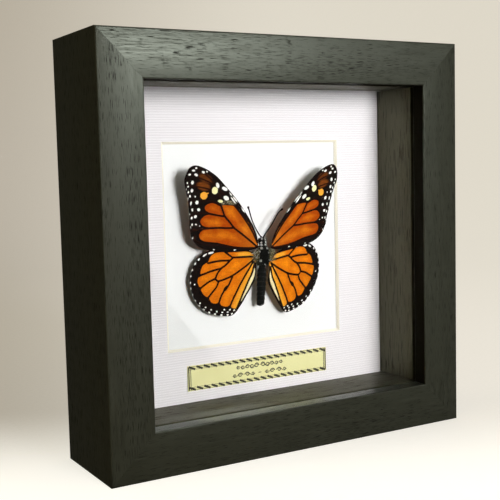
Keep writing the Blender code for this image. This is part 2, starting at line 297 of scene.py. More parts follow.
# The cut core is a warm matt line, in which the thin plies of the board just show.
cream_core, tree = new_material("cream board core, knife cut")
place = add(tree, "TexCoord", out="Object")
layers = add(tree, "VectorMath", {0: place, 1: (300.0, 9000.0, 300.0)}, operation="MULTIPLY")
ply = add(tree, "TexNoise", {"Vector": layers, "Scale": 1.0, "Detail": 2.0})
core = add(tree, "Mix", {0: ply, 6: "#f8f1da", 7: "#fffbee"}, data_type="RGBA", out=2)
bump = add(tree, "Bump", {"Height": ply, "Strength": 0.3, "Distance": 0.03 * MM})
cut = add(tree, "BsdfPrincipled", {"Base Color": core, "Roughness": 0.85, "Normal": bump})
add(tree, "OutputMaterial", {"Surface": cut})

mat_thickness = mat_high.y - mat_low.y
points = []
for y, opening in ((mat_low.y, WINDOW / 2), (mat_high.y, WINDOW / 2 - mat_thickness)):
    for half, centre in (((mat_high.x - mat_low.x) / 2, 0.0), (opening, WINDOW_X)):
        for sx, sz in ((-1, -1), (1, -1), (1, 1), (-1, 1)):
            points.append((centre + sx * half, y, middle + sz * half))
faces = []
for i in range(4):
    j = (i + 1) % 4
    faces += [(i, j, 4 + j, 4 + i), (8 + j, 8 + i, 12 + i, 12 + j), (j, i, 8 + i, 8 + j),
              (4 + i, 4 + j, 12 + j, 12 + i)]
mat = new_piece("mat_board_laid", points, faces, laid_paper, cream_core, sharp=20)
for i, face in enumerate(mat.data.polygons):
    face.material_index = int(i % 4 == 3)
settle(mat, "mat_paper", "mat_board")


# ================================================================ caption card
# A small card of pale yellow paper, glued below the window. A twisted-rope border is printed along its
# top and bottom and a double rule at its ends. It names nothing: the middle holds two rows of a plain
# scroll ornament.

card_low, card_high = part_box("caption_card")
ROPE_STRANDS = 20
ROPE_HEIGHT = 1.2 * MM
STROKE = 0.42 * MM
INK_DEPTH = 0.03 * MM

# Uncoated card is matt and very slightly clouded.
yellow_card, tree = new_material("pale yellow card, uncoated")
place = add(tree, "TexCoord", out="Object")
fibres = add(tree, "TexNoise", {"Vector": place, "Scale": 1500.0, "Detail": 3.0})
stain = add(tree, "TexNoise", {"Vector": place, "Scale": 60.0, "Detail": 2.0})
paper = add(tree, "Mix", {0: stain, 6: "#e6e1a0", 7: "#f1edb6"}, data_type="RGBA", out=2)
bump = add(tree, "Bump", {"Height": fibres, "Strength": 0.3, "Distance": 0.02 * MM})
sheet = add(tree, "BsdfPrincipled", {"Base Color": paper, "Roughness": 0.8, "Normal": bump})
add(tree, "OutputMaterial", {"Surface": sheet})

# The ink lies flat on the card, nearly black, and thinner here and there.
dark_ink, tree = new_material("olive black printing ink")
place = add(tree, "TexCoord", out="Object")
mottle = add(tree, "TexNoise", {"Vector": place, "Scale": 2500.0, "Detail": 2.0})
ink = add(tree, "Mix", {0: mottle, 6: "#26261a", 7: "#3d3f2a"}, data_type="RGBA", out=2)
printed = add(tree, "BsdfPrincipled", {"Base Color": ink, "Roughness": 0.6})
add(tree, "OutputMaterial", {"Surface": printed})

card_length, card_width = card_high.x - card_low.x, card_high.z - card_low.z
card_middle = (card_low + card_high) / 2
points, faces = [], []
CARD_STEPS = 24
for i in range(CARD_STEPS + 1):
    x = card_low.x + card_length * i / CARD_STEPS
    for y, z in ((card_low.y, card_low.z), (card_low.y, card_high.z), (card_high.y, card_high.z),
                 (card_high.y, card_low.z)):
        points.append((x, y, z))
for i in range(CARD_STEPS):
    for k in range(4):
        a, b = 4 * i + k, 4 * i + (k + 1) % 4
        faces.append((a, a + 4, b + 4, b))
faces += [(0, 1, 2, 3), tuple(4 * CARD_STEPS + k for k in (3, 2, 1, 0))]
card = new_piece("caption_card_paper", points, faces, yellow_card)
settle(card, "caption_card", "caption_card")

ink_points, ink_faces = [], []


def lay_ink(path, widths):
    """A printed stroke on the card: a flat ribbon along a path given from the middle of the card."""
    start = len(ink_points)
    path = [Vector(p) for p in path]
    for i, point in enumerate(path):
        way = (path[min(i + 1, len(path) - 1)] - path[max(i - 1, 0)]).normalized()
        across = Vector((-way.y, way.x)) * widths[i] / 2
        for y in (card_low.y - INK_DEPTH, card_low.y - 0.002 * MM):
            for edge in (point + across, point - across):
                ink_points.append((card_middle.x + edge.x, y, card_middle.z + edge.y))
    for i in range(len(path) - 1):
        a = start + 4 * i
        for p, q in ((0, 1), (1, 3), (3, 2), (2, 0)):
            ink_faces.append((a + p, a + q, a + 4 + q, a + 4 + p))
    last = start + 4 * (len(path) - 1)
    ink_faces.extend([(start, start + 2, start + 3, start + 1), (last, last + 1, last + 3, last + 2)])


inset = 0.35 * MM
pitch = (card_length - 2 * inset) / ROPE_STRANDS
for row in (1, -1):
    edge = row * (card_width / 2 - inset)
    inner = edge - row * ROPE_HEIGHT
    for i in range(ROPE_STRANDS):
        x = -card_length / 2 + inset + (i + 0.5) * pitch
        top, bottom = max(edge, inner), min(edge, inner)
        lay_ink([(x - 0.42 * pitch, top), (x, (top + bottom) / 2), (x + 0.42 * pitch, bottom)],
                [0.9 * MM] * 3)
    lay_ink([(-card_length / 2 + inset, edge), (card_length / 2 - inset, edge)], [0.14 * MM] * 2)
    lay_ink([(-card_length / 2 + inset, inner), (card_length / 2 - inset, inner)], [0.14 * MM] * 2)
for end in (-1, 1):
    for distance, width in ((0.5 * MM, 0.55 * MM), (1.35 * MM, 0.3 * MM)):
        x = end * (card_length / 2 - distance)
        lay_ink([(x, -card_width / 2 + inset), (x, card_width / 2 - inset)], [width] * 2)


def scroll(centre_x, centre_z, half_length, height, curls):
    """A row of vine scroll, the same on both sides of its middle."""
    for hand in (-1, 1):
        count = 12 * curls
        stem = []
        for i in range(count + 1):
            t = i / count
            wave = math.sin(t * curls * math.pi) * height * 0.30 * (1 - 0.4 * t)
            stem.append((centre_x + hand * (0.4 * MM + t * half_length), centre_z + wave))
        lay_ink(stem, [STROKE * (1.1 - 0.8 * i / count) for i in range(count + 1)])
        for c in range(curls):
            t = (c + 0.5) / curls
            up = 1 if c % 2 == 0 else -1
            x = centre_x + hand * (0.4 * MM + t * half_length)
            turns = []
            for k in range(15):
                angle = math.pi * (0.5 + k / 14 * 2.4)
                radius = height * 0.34 * (1 - 0.055 * k) * (1 - 0.3 * t)
                turns.append((x - hand * math.cos(angle) * radius,
                              centre_z + up * (math.sin(angle) * radius * 0.8)))
            lay_ink(turns, [STROKE * (1.3 - 0.07 * k) for k in range(15)])


ROW = 1.65 * MM
DASH = 0.9 * MM
scroll(0.0, ROW, half_length=11.6 * MM, height=3.5 * MM, curls=5)
for hand in (-1, 1):
    scroll(hand * 8.2 * MM, -ROW, half_length=5.4 * MM, height=3.2 * MM, curls=2)
lay_ink([(-DASH, -ROW), (0.0, -ROW), (DASH, -ROW)], [0.08 * MM, 0.4 * MM, 0.08 * MM])
print_work = new_piece("caption_print", ink_points, ink_faces, dark_ink)
settle(print_work, "caption_card")


# ================================================================ backing card
# A sheet of smooth white card behind the window, glued to the back of the mat along its edges. The
# specimen stands on it, so it takes the shadows.

# Calendering presses the card to an even, matt white with hardly any grain.
white_card, tree = new_material("smooth white card, calendered")
place = add(tree, "TexCoord", out="Object")
fibres = add(tree, "TexNoise", {"Vector": place, "Scale": 1800.0, "Detail": 3.0})
card_tone = add(tree, "Mix", {0: fibres, 6: "#f4f5f4", 7: "#fafbfa"}, data_type="RGBA", out=2)
bump = add(tree, "Bump", {"Height": fibres, "Strength": 0.15, "Distance": 0.01 * MM})
sheet = add(tree, "BsdfPrincipled", {"Base Color": card_tone, "Roughness": 0.75, "Normal": bump})
add(tree, "OutputMaterial", {"Surface": sheet})
dress("backing_card", white_card)


# ================================================================ foam block
# A small block of white plastic foam, cut with a knife and glued to the card. The thorax sits on it, so
# that the wings spread clear of the card.

# Cut foam shows its opened cells as a fine pitting, each about 0.4 mm across.
plastic_foam, tree = new_material("white polyethylene foam, cut")
place = add(tree, "TexCoord", out="Object")
cells = add(tree, "TexVoronoi", {"Vector": place, "Scale": 2500.0})
foam_tone = add(tree, "Mix", {0: cells, 6: "#d9d9d4", 7: "#f2f2ee"}, data_type="RGBA", out=2)
bump = add(tree, "Bump", {"Height": cells, "Strength": 0.6, "Distance": 0.1 * MM})
block = add(tree, "BsdfPrincipled", {"Base Color": foam_tone, "Roughness": 0.9, "Normal": bump})
add(tree, "OutputMaterial", {"Surface": block})
dress("foam_block", plastic_foam)


# ================================================================ hindwings
# Each wing is a dry membrane about 0.1 mm thick, pleated between stiff tubular veins, and clothed on both
# faces with rows of flat scales. The scales hold the colour: orange cells, black veins and border, white
# and cream spots. Wing coordinates are in millimetres on a left wing seen from above: u outwards from the
# body, v upwards.

mat_face = mat_low.y
WING_THICKNESS = 0.14
NET = 0.26
VEIN = 0.43
VEIN_RISE = 0.16
SCALE_WIDTH = 0.20
SCALE_LENGTH = 0.30


def on_mat(x, z, height):
    """Points given in millimetres from the middle of the frame, at a height in front of the mat."""
    return np.column_stack([x * MM, mat_face - height * MM, middle + z * MM])


def curve(points, steps=6, closed=False):
    """A smooth path through the points."""
    points = np.asarray(points, float)
    count = len(points)
    path = []
    for i in range(count if closed else count - 1):
        if closed:
            a, b, c, d = (points[(i + k) % count] for k in (-1, 0, 1, 2))
        else:
            a, b, c, d = (points[min(max(i + k, 0), count - 1)] for k in (-1, 0, 1, 2))
        for t in np.arange(steps) / steps:
            path.append(0.5 * (2 * b + (c - a) * t + (2 * a - 5 * b + 4 * c - d) * t ** 2
                               + (3 * b - a - 3 * c + d) * t ** 3))
    if not closed:
        path.append(points[-1])
    return np.array(path)


def even(path, spacing):
    """A closed path with its points an even distance apart."""
    ring = np.vstack([path, path[:1]])
    along = np.concatenate([[0], np.cumsum(np.linalg.norm(np.diff(ring, axis=0), axis=1))])
    places = np.linspace(0, along[-1], int(along[-1] / spacing), endpoint=False)
    return np.column_stack([np.interp(places, along, ring[:, k]) for k in (0, 1)])


def distance_to(points, path):
    """The distance of each point from a path."""
    best = np.full(len(points), np.inf)
    for a, b in zip(path[:-1], path[1:]):
        step = b - a
        t = np.clip((points - a) @ step / (step @ step), 0, 1)
        best = np.minimum(best, np.linalg.norm(points - a - t[:, None] * step, axis=1))
    return best


def depth_in(points, outline):
    """How far each point lies inside a closed outline, or as a negative number how far outside."""
    ring = np.vstack([outline, outline[:1]])
    crossed = np.zeros(len(points), bool)
    x, y = points[:, 0], points[:, 1]
    for (ax, ay), (bx, by) in zip(ring[:-1], ring[1:]):
        if ay != by:
            crossed ^= ((ay > y) != (by > y)) & (x < (bx - ax) * (y - ay) / (by - ay) + ax)
    return np.where(crossed, 1, -1) * distance_to(points, ring)


def spot_depth(points, spots):
    """How far each point lies inside the nearest oval spot. A spot is given as (u, v, half length, half
    width, degrees)."""
    best = np.full(len(points), -9.0)
    for u, v, long, wide, degrees in spots:
        turn = math.radians(degrees)
        du, dv = points[:, 0] - u, points[:, 1] - v
        along = du * math.cos(turn) + dv * math.sin(turn)
        across = dv * math.cos(turn) - du * math.sin(turn)
        best = np.maximum(best, (1 - np.hypot(along / long, across / wide)) * min(long, wide))
    return best


def blended(a, b, reach):
    """The larger of two depths, with a fillet where they meet."""
    near = np.maximum(reach - np.abs(a - b), 0) / reach
    return np.maximum(a, b) + near ** 2 * reach / 4


def wing_net(outline):
    """Points and triangles that fill a wing's outline."""
    edge = even(outline, NET)
    low, high = edge.min(0), edge.max(0)
    rows = np.arange(low[1], high[1], NET * 0.866)
    grid = []
    for r, v in enumerate(rows):
        across = np.arange(low[0] + (r % 2) * NET / 2, high[0], NET)
        grid.append(np.column_stack([across, np.full(len(across), v)]))
    grid = np.vstack(grid)
    grid = grid[depth_in(grid, edge) > 0.55 * NET]
    points = np.vstack([edge, grid])
    border = [(i, (i + 1) % len(edge)) for i in range(len(edge))]
    made = delaunay_2d_cdt([Vector(p) for p in points], border, [], 1, 1e-6)
    return np.array([tuple(p) for p in made[0]]), [tuple(f) for f in made[2]]


def build_wing(name, net, placing, height, marks, finish):
    """A closed wing: the net placed on both faces, raised along its veins and dished between them."""
    points, triangles = net
    (ax, bx, cx), (az, bz, cz) = placing
    u, v = points[:, 0], points[:, 1]
    x = ax * u + bx * v + cx
    z = az * u + bz * v + cz
    seed = sum(map(ord, name)) % 7
    waves = (0.16 * np.sin(u * 0.33 + seed) * np.sin(v * 0.27 + 2 * seed)
             + 0.05 * np.sin(u * 0.9 - v * 0.7 + seed))
    ridge = VEIN_RISE * np.exp(-(marks["vein"] / 0.28) ** 2)
    dish = -0.22 * np.clip(marks["vein"] / 2.4, 0, 1) ** 2
    level = height(x, z) + waves + dish
    above = on_mat(x, z, level + WING_THICKNESS / 2 + ridge)
    below = on_mat(x, z, level - WING_THICKNESS / 2)
    count = len(points)
    flipped = ax * bz - bx * az > 0
    used = {}
    faces = []
    for a, b, c in triangles:
        if flipped:
            b, c = c, b
        faces.append((a, b, c))
        faces.append((count + a, count + c, count + b))
        for edge in ((a, b), (b, c), (c, a)):
            used[edge] = True
    for a, b in list(used):
        if (b, a) not in used:
            faces.append((b, a, count + a, count + b))
    wing = new_piece(name, np.vstack([above, below]).tolist(), faces, finish, sharp=75)
    bm = bmesh.new()
    bm.from_mesh(wing.data)
    bmesh.ops.recalc_face_normals(bm, faces=bm.faces)
    bm.to_mesh(wing.data)
    bm.free()
    for mark, values in marks.items():
        store(wing, mark, np.concatenate([values, values]))
    coordinates = np.column_stack([u, v, np.full(count, 40.0 * seed)])
    store(wing, "wing", np.vstack([coordinates, coordinates]), "FLOAT_VECTOR")
    return wing


def wing_scales(name, inner, outer, gold, pale):
    """Dry wing scales: matt, with each scale a slightly different tone and a ragged edge where two colours
    meet. Real scales are 0.1 mm wide and 0.2 mm long, and are drawn a little coarser so that they show."""
    finish, tree = new_material(name)
    place = add(tree, "Attribute", attribute_name="wing", out="Vector")
    mark = {key: add(tree, "Attribute", attribute_name=key, out="Fac")
            for key in ("black", "vein", "white", "cream", "yellow", "rust", "pale", "bare")}
    rows = add(tree, "VectorMath", {0: place, 1: (1 / SCALE_WIDTH, 1 / SCALE_LENGTH, 1.0)},
               operation="MULTIPLY")
    scale = add(tree, "TexVoronoi", {"Vector": rows, "Scale": 1.0}).node.outputs
    each = add(tree, "SeparateColor", {0: scale["Color"]})
    along = add(tree, "VectorMath", {0: place, 1: (0.3, 1.5, 1.0)}, operation="MULTIPLY")
    drift = add(tree, "TexNoise", {"Vector": along, "Scale": 1.0, "Detail": 3.0})
    blotch = add(tree, "TexNoise", {"Vector": place, "Scale": 0.16, "Detail": 2.0})
    ragged = add(tree, "MapRange", {"Value": each, "To Min": -0.07, "To Max": 0.07})

    def within(depth, soft=0.05):
        """One inside a mark and nought outside it, with whole scales on either side of its edge."""
        edge = add(tree, "Math", {0: depth, 1: ragged}, operation="ADD")
        return add(tree, "MapRange", {"Value": edge, "From Min": -soft, "From Max": soft})

    reach = add(tree, "Math", {0: blotch, 1: 8.0, 2: mark["black"]}, operation="MULTIPLY_ADD")
    deep = add(tree, "MapRange", {"Value": reach, "From Min": 3.6, "From Max": 0.4})
    orange = add(tree, "Mix", {0: deep, 6: outer, 7: inner}, data_type="RGBA", out=2)
    golden = add(tree, "MapRange", {"Value": mark["pale"], "From Max": 0.5})
    faded = add(tree, "MapRange", {"Value": mark["pale"], "From Min": 0.5})
    orange = add(tree, "Mix", {0: golden, 6: orange, 7: gold}, data_type="RGBA", out=2)
    orange = add(tree, "Mix", {0: faded, 6: orange, 7: pale}, data_type="RGBA", out=2)
    tone = add(tree, "MapRange", {"Value": each, "To Min": 0.82, "To Max": 1.12})
    tone = add(tree, "Math", {0: drift, 1: 0.4, 2: tone}, operation="MULTIPLY_ADD")
    tone = add(tree, "Math", {0: tone, 1: 0.2}, operation="SUBTRACT")
    orange = add(tree, "VectorMath", {0: orange, 3: tone}, operation="SCALE")

    on_vein = add(tree, "MapRange", {"Value": mark["vein"], "From Min": 0.6, "From Max": 0.25})
    border = add(tree, "Mix", {0: each, 6: "#080404", 7: "#1a100b"}, data_type="RGBA", out=2)
    dark = add(tree, "Mix", {0: on_vein, 6: border, 7: "#1c0a05"}, data_type="RGBA", out=2)
    bronze = add(tree, "Mix", {0: drift, 6: "#32160a", 7: "#924c14"}, data_type="RGBA", out=2)
    dark = add(tree, "Mix", {0: mark["rust"], 6: dark, 7: bronze}, data_type="RGBA", out=2)
    colour = add(tree, "Mix", {0: within(mark["black"]), 6: orange, 7: dark}, data_type="RGBA", out=2)
    for key, shade in (("yellow", "#f2a93a"), ("cream", "#f3eeb4"), ("white", "#f7f6f0")):
        colour = add(tree, "Mix", {0: within(mark[key]), 6: colour, 7: shade}, data_type="RGBA", out=2)
    speck = add(tree, "MapRange", {"Value": each, "From Min": 0.45, "From Max": 0.7})
    worn = add(tree, "Math", {0: speck, 1: mark["bare"]}, operation="MULTIPLY")
    skin = add(tree, "Mix", {0: drift, 6: "#3a2f1c", 7: "#e4dab0"}, data_type="RGBA", out=2)
    colour = add(tree, "Mix", {0: worn, 6: colour, 7: skin}, data_type="RGBA", out=2)

    relief = add(tree, "Math", {0: scale["Distance"], 1: each}, operation="ADD")
    bump = add(tree, "Bump", {"Height": relief, "Strength": 0.35, "Distance": 0.05 * MM})
    dull = add(tree, "MapRange", {"Value": each, "To Min": 0.62, "To Max": 0.8})
    cloth = add(tree, "BsdfPrincipled", {"Base Color": colour, "Roughness": dull, "IOR": 1.4,
                                         "Specular IOR Level": 0.05, "Normal": bump})
    add(tree, "OutputMaterial", {"Surface": cloth})
    return finish


HINDWING = curve([
    (3.6, -5.0), (9.0, -2.4), (18.0, -1.4), (26.0, -2.0), (30.4, -4.4), (33.2, -8.2), (34.6, -13.6),
    (33.8, -19.6), (31.0, -24.8), (26.2, -28.6), (20.3, -30.4), (15.4, -30.6), (12.2, -27.8), (7.8, -21.8),
    (3.8, -15.2), (3.4, -9.6),
], closed=True)
# Each side's place on the mat, x and then z, as factors of u, v and 1. The right wings were set a little
# askew.
HINDWING_SET = {
    "left": ((-1.0, 0.0, 0.0), (0.0, 1.0, 0.0)),
    "right": ((0.898, 0.088, 0.732), (0.119, 1.016, -2.711)),
}
HINDWING_ORANGE = curve([
    (3.4, -6.0), (7.2, -3.6), (12.0, -3.3), (16.0, -3.2), (20.0, -2.9), (22.9, -3.2), (24.9, -4.4),
    (26.2, -6.4), (28.4, -7.9), (29.5, -9.6), (30.1, -11.7), (31.1, -13.6), (30.9, -15.8), (29.9, -18.0),
    (28.9, -19.9), (27.5, -21.4), (26.0, -22.6), (24.8, -24.3), (22.9, -24.8), (21.4, -24.6), (20.1, -25.9),
    (18.3, -26.5), (16.6, -26.4), (15.6, -27.1), (14.3, -27.7), (12.6, -27.0), (8.2, -20.9), (4.7, -14.8),
    (3.9, -9.6),
], steps=4, closed=True)
HINDWING_VEINS = [curve(vein) for vein in (
    [(3.8, -5.7), (7.2, -5.7), (10.5, -5.6), (14.5, -5.5), (16.0, -4.7), (18.1, -3.2)],
    [(14.5, -5.5), (16.1, -6.7), (18.2, -8.6), (20.1, -9.8), (21.9, -11.7), (23.1, -14.1)],
    [(16.1, -6.7), (21.1, -6.6), (26.2, -7.2)],
    [(20.1, -9.8), (25.7, -10.9), (30.4, -12.3)],
    [(23.1, -14.1), (26.0, -15.1), (28.1, -16.4), (30.4, -17.8)],
    [(4.2, -6.8), (7.5, -9.0), (10.9, -11.1), (14.5, -13.1), (17.0, -14.1), (21.5, -15.2), (23.1, -14.1)],
    [(21.5, -15.2), (22.6, -17.5), (24.4, -19.6), (26.8, -22.2)],
    [(14.6, -13.2), (15.8, -15.5), (17.1, -17.7), (19.2, -19.9), (20.5, -21.9), (21.6, -25.0)],
    [(4.6, -7.6), (7.5, -11.7), (10.4, -16.0), (12.9, -20.2), (15.0, -23.9), (16.6, -27.0)],
    [(4.2, -8.6), (5.7, -13.0), (7.9, -17.0), (9.8, -21.0), (11.7, -24.8), (13.0, -27.4)],
)]
SCENT_SPOT = [(18.1, -18.6, 1.75, 0.75, -46)]
HINDWING_WHITE = [
    (24.8, -2.9, 1.25, 0.45, -8), (19.6, -2.4, 0.66, 0.39, -4), (27.7, -3.7, 1.05, 0.38, -32),
    (30.5, -5.3, 0.6, 0.36, -50), (32.2, -7.0, 0.66, 0.28, -58), (33.6, -9.6, 0.55, 0.28, -66),
    (34.2, -12.2, 0.50, 0.28, -76), (34.5, -15.0, 0.55, 0.31, 88), (34.3, -17.4, 0.50, 0.28, 82),
    (33.7, -20.2, 0.55, 0.36, 72), (32.4, -22.8, 0.55, 0.35, 62), (30.6, -25.1, 0.55, 0.34, 50),
    (28.6, -26.9, 0.55, 0.36, 40), (25.9, -28.4, 0.55, 0.34, 28), (23.2, -29.4, 0.50, 0.35, 18),
    (20.3, -30.0, 0.55, 0.35, 8), (17.4, -30.2, 0.50, 0.39, 0), (15.4, -29.9, 0.44, 0.35, -30),
    (32.5, -15.8, 0.33, 0.34, 90), (30.2, -24.0, 0.35, 0.36, 45), (27.6, -26.0, 0.4, 0.3, 40),
    (25.0, -27.3, 0.42, 0.3, 30), (22.4, -28.3, 0.42, 0.34, 20), (19.9, -28.9, 0.45, 0.32, 8),
    (17.3, -29.0, 0.42, 0.3, 0), (18.9, -27.8, 0.40, 0.36, 20), (16.4, -28.0, 0.5, 0.3, -35),
    (14.4, -28.4, 0.40, 0.34, -20),
]


def hindwing_height(x, z):
    """How far in front of the mat the hindwings lie, in millimetres."""
    return 4.8 - 0.06 * np.abs(x) + 0.03 * (z + 3)


def common_marks(points, veins):
    """The distance of each point from a vein, with the other marks still blank."""
    vein = np.full(len(points), 9.0)
    for path in veins:
        vein = np.minimum(vein, distance_to(points, path))
    nothing = np.full(len(points), -9.0)
    blank = np.zeros(len(points))
    return {"vein": vein, "black": nothing, "white": nothing, "cream": nothing, "yellow": nothing,
            "rust": blank, "pale": blank, "bare": blank}


net = wing_net(HINDWING)
marks = common_marks(net[0], HINDWING_VEINS)
inward = distance_to(net[0], HINDWING_VEINS[9])
beyond = depth_in(net[0], np.vstack([HINDWING_VEINS[9], [(0.0, -28.0), (0.0, -8.0)]]))
marks["black"] = blended(-depth_in(net[0], HINDWING_ORANGE), VEIN - marks["vein"], 0.7)
marks["black"] = np.maximum(marks["black"], spot_depth(net[0], SCENT_SPOT))
marks["white"] = spot_depth(net[0], HINDWING_WHITE)
golden = np.clip(1.15 - inward / 3.4, 0, 1)
golden = np.maximum(golden, np.clip(spot_depth(net[0], [(8.4, -4.6, 5.6, 1.3, 4)]) / 0.5, 0, 1))
marks["pale"] = np.where(beyond > 0, 1.0, 0.5 * golden)
hindwing_finish = wing_scales("orange hindwing scales, dry", inner="#ee8a0e", outer="#d66f08",
                              gold="#efa62e", pale="#ecdcaa")
for hand in ("left", "right"):
    wing = build_wing("hindwing_scaled_" + hand, net, HINDWING_SET[hand], hindwing_height, marks,
                      hindwing_finish)
    settle(wing, "wing_scales", "hindwing_" + hand)


# ================================================================ forewings
# The forewings lie over the front edge of the hindwings and stand a little higher. Their tips are black
# with two rusty patches, and one of them has lost scales near the end of its cell.

FOREWING = curve([
    (3.4, 0.6), (4.6, 5.0), (7.6, 10.6), (12.9, 17.9), (21.6, 27.4), (26.8, 31.5), (31.3, 33.6),
    (34.6, 34.0), (37.0, 32.3), (38.3, 29.0), (38.2, 25.8), (36.9, 19.9), (36.2, 13.0), (35.4, 6.0),
    (33.8, 2.4), (30.4, -0.4), (24.0, -2.2), (14.0, -3.0), (4.2, -2.4),
], closed=True)
FOREWING_SET = {
    "left": ((-1.0, 0.0, 0.0), (0.0, 1.0, 0.0)),
    "right": ((0.86, 0.144, 0.616), (0.015, 0.974, -0.591)),
}
FOREWING_ORANGE = [curve(cell, steps=4, closed=True) for cell in (
    [(3.7, -1.2), (4.3, 1.6), (5.5, 4.8), (7.4, 7.9), (9.6, 10.7), (11.9, 13.4), (14.0, 15.5), (15.6, 16.5),
     (17.6, 16.9), (20.2, 17.1), (21.4, 16.6), (20.6, 14.5), (19.7, 12.4), (17.4, 9.9), (15.1, 7.3),
     (12.5, 5.3), (9.9, 3.3), (6.7, 0.8)],
    [(19.7, 12.4), (20.6, 14.5), (21.5, 16.4), (22.8, 17.0), (24.4, 17.9), (26.1, 18.2), (28.0, 17.7),
     (28.9, 16.7), (28.6, 15.5), (27.3, 14.6), (25.0, 13.7), (22.3, 12.9)],
    [(15.1, 7.3), (17.4, 9.9), (19.7, 12.4), (22.3, 12.8), (25.4, 13.3), (28.0, 13.3), (29.9, 12.4),
     (30.9, 11.0), (30.4, 9.6), (28.9, 8.6), (26.0, 8.1), (22.3, 7.8), (18.5, 7.5)],
    [(4.2, -1.3), (6.7, 0.8), (9.9, 3.3), (12.5, 5.3), (15.1, 7.3), (18.5, 7.3), (22.7, 7.6), (26.9, 7.4),
     (29.7, 7.1), (31.0, 6.1), (31.4, 4.7), (30.7, 3.3), (28.9, 2.4), (25.6, 1.9), (22.6, 1.4), (19.6, 0.6),
     (15.9, -0.3), (11.6, -1.0)],
)]
FOREWING_VEINS = [curve(vein) for vein in (
    [(3.6, -1.6), (6.7, 0.8), (9.9, 3.3), (12.5, 5.3), (15.1, 7.3), (17.4, 9.9), (19.7, 12.4), (20.6, 14.5),
     (21.7, 17.2)],
    [(15.1, 7.3), (18.5, 7.4), (22.3, 7.7), (26.5, 7.8), (31.0, 7.7), (35.6, 6.9)],
    [(19.7, 12.4), (22.3, 12.85), (25.3, 13.5), (28.3, 14.1), (31.5, 14.2), (36.0, 13.2)],
    [(21.7, 17.2), (25.0, 18.8), (29.5, 19.3), (36.6, 19.4)],
    [(21.7, 17.2), (22.4, 21.4), (26.0, 23.6), (31.0, 25.0), (37.4, 26.0)],
    [(20.4, 21.6), (25.5, 26.0), (31.0, 28.6), (36.9, 30.8)],
    [(3.8, 0.4), (6.3, 5.2), (9.6, 10.1), (14.8, 16.3), (20.4, 21.6), (27.0, 28.6), (33.5, 33.0)],
    [(3.8, -1.9), (8.5, -1.9), (13.1, -1.5), (17.7, -0.6), (21.4, 0.3), (28.0, 0.9), (33.6, 3.0)],
)]
FOREWING_WHITE = [
    (23.4, 25.6, 1.15, 0.8, 69), (19.9, 24.0, 1.4, 0.72, 26), (19.2, 20.1, 1.3, 0.9, 30),
    (15.9, 19.1, 1.9, 0.32, 51), (14.9, 19.4, 1.7, 0.30, 49), (17.0, 21.6, 0.9, 0.26, 50),
    (10.9, 14.6, 1.4, 0.28, 51), (33.4, 33.0, 0.5, 0.42, 0), (34.5, 32.0, 0.72, 0.4, 10),
    (36.3, 30.4, 0.6, 0.42, 0), (33.3, 30.2, 0.8, 0.55, 28), (30.1, 31.2, 0.72, 0.48, 25),
    (28.4, 31.4, 0.45, 0.32, 20), (34.9, 27.1, 0.62, 0.78, 10), (37.2, 27.0, 0.3, 0.42, 0),
    (36.8, 25.5, 0.34, 0.42, 0), (35.0, 23.8, 0.55, 0.75, 5), (36.6, 23.2, 0.3, 0.55, 8),
    (35.9, 21.5, 0.42, 0.48, 0), (33.5, 21.3, 0.3, 0.34, 0), (35.5, 18.6, 0.36, 0.85, 8),
    (32.8, 18.8, 0.75, 0.8, 0), (34.8, 15.9, 0.42, 0.62, 5), (31.9, 15.8, 0.68, 0.62, 0),
    (35.1, 12.5, 0.42, 0.55, 0), (33.4, 13.0, 0.68, 0.62, 0), (34.8, 9.7, 0.34, 0.52, 0),
    (33.0, 9.7, 0.45, 0.32, 20), (31.3, 9.0, 0.26, 0.22, 0), (36.9, 20.4, 0.2, 0.7, 5),
    (36.1, 14.0, 0.18, 0.6, 4), (35.5, 8.6, 0.18, 0.6, 6), (34.4, 4.0, 0.18, 0.55, 24),
    (37.6, 24.3, 0.18, 0.5, 6), (14.6, -2.2, 0.5, 0.22, 0), (24.5, -1.4, 0.42, 0.2, 10),
]
FOREWING_CREAM = [(24.7, 23.5, 1.4, 1.5, 0), (21.9, 18.9, 1.2, 0.62, 12)]
FOREWING_YELLOW = [(29.6, 21.5, 1.65, 1.55, 0), (28.0, 22.4, 0.55, 0.3, -15)]
# Oval spots of bronze, each with its strength.
RUST_PATCHES = [
    (30.0, 25.4, 3.6, 2.0, 16, 1.0), (29.0, 28.6, 3.8, 2.1, 26, 0.65), (33.6, 3.9, 0.9, 1.6, 20, 0.16),
    (33.8, 7.5, 0.9, 0.9, 0, 0.16), (9.0, -1.6, 4.8, 0.45, 2, 0.5),
]


def forewing_height(x, z):
    """How far in front of the mat the forewings lie, in millimetres."""
    return 6.2 - 0.03 * np.abs(x) + 0.10 * z


net = wing_net(FOREWING)
marks = common_marks(net[0], FOREWING_VEINS)
orange_depth = np.max([depth_in(net[0], cell) for cell in FOREWING_ORANGE], axis=0)
marks["black"] = np.maximum(-orange_depth - 0.04, VEIN - marks["vein"])
marks["white"] = spot_depth(net[0], FOREWING_WHITE)
marks["cream"] = spot_depth(net[0], FOREWING_CREAM)
marks["yellow"] = spot_depth(net[0], FOREWING_YELLOW)
rust = np.zeros(len(net[0]))
for u, v, long, wide, degrees, strength in RUST_PATCHES:
    soft = np.clip(spot_depth(net[0], [(u, v, long, wide, degrees)]) / 0.7, 0, 1)
    rust = np.maximum(rust, soft * strength)
marks["rust"] = rust * np.clip((marks["vein"] - 0.15) / 0.35, 0, 1)
marks["pale"] = np.clip(1.0 - net[0][:, 0] / 15.0, 0, 1) * 0.22
forewing_finish = wing_scales("orange forewing scales, dry", inner="#d27110", outer="#a64302",
                              gold="#e9952a", pale="#e9b04c")
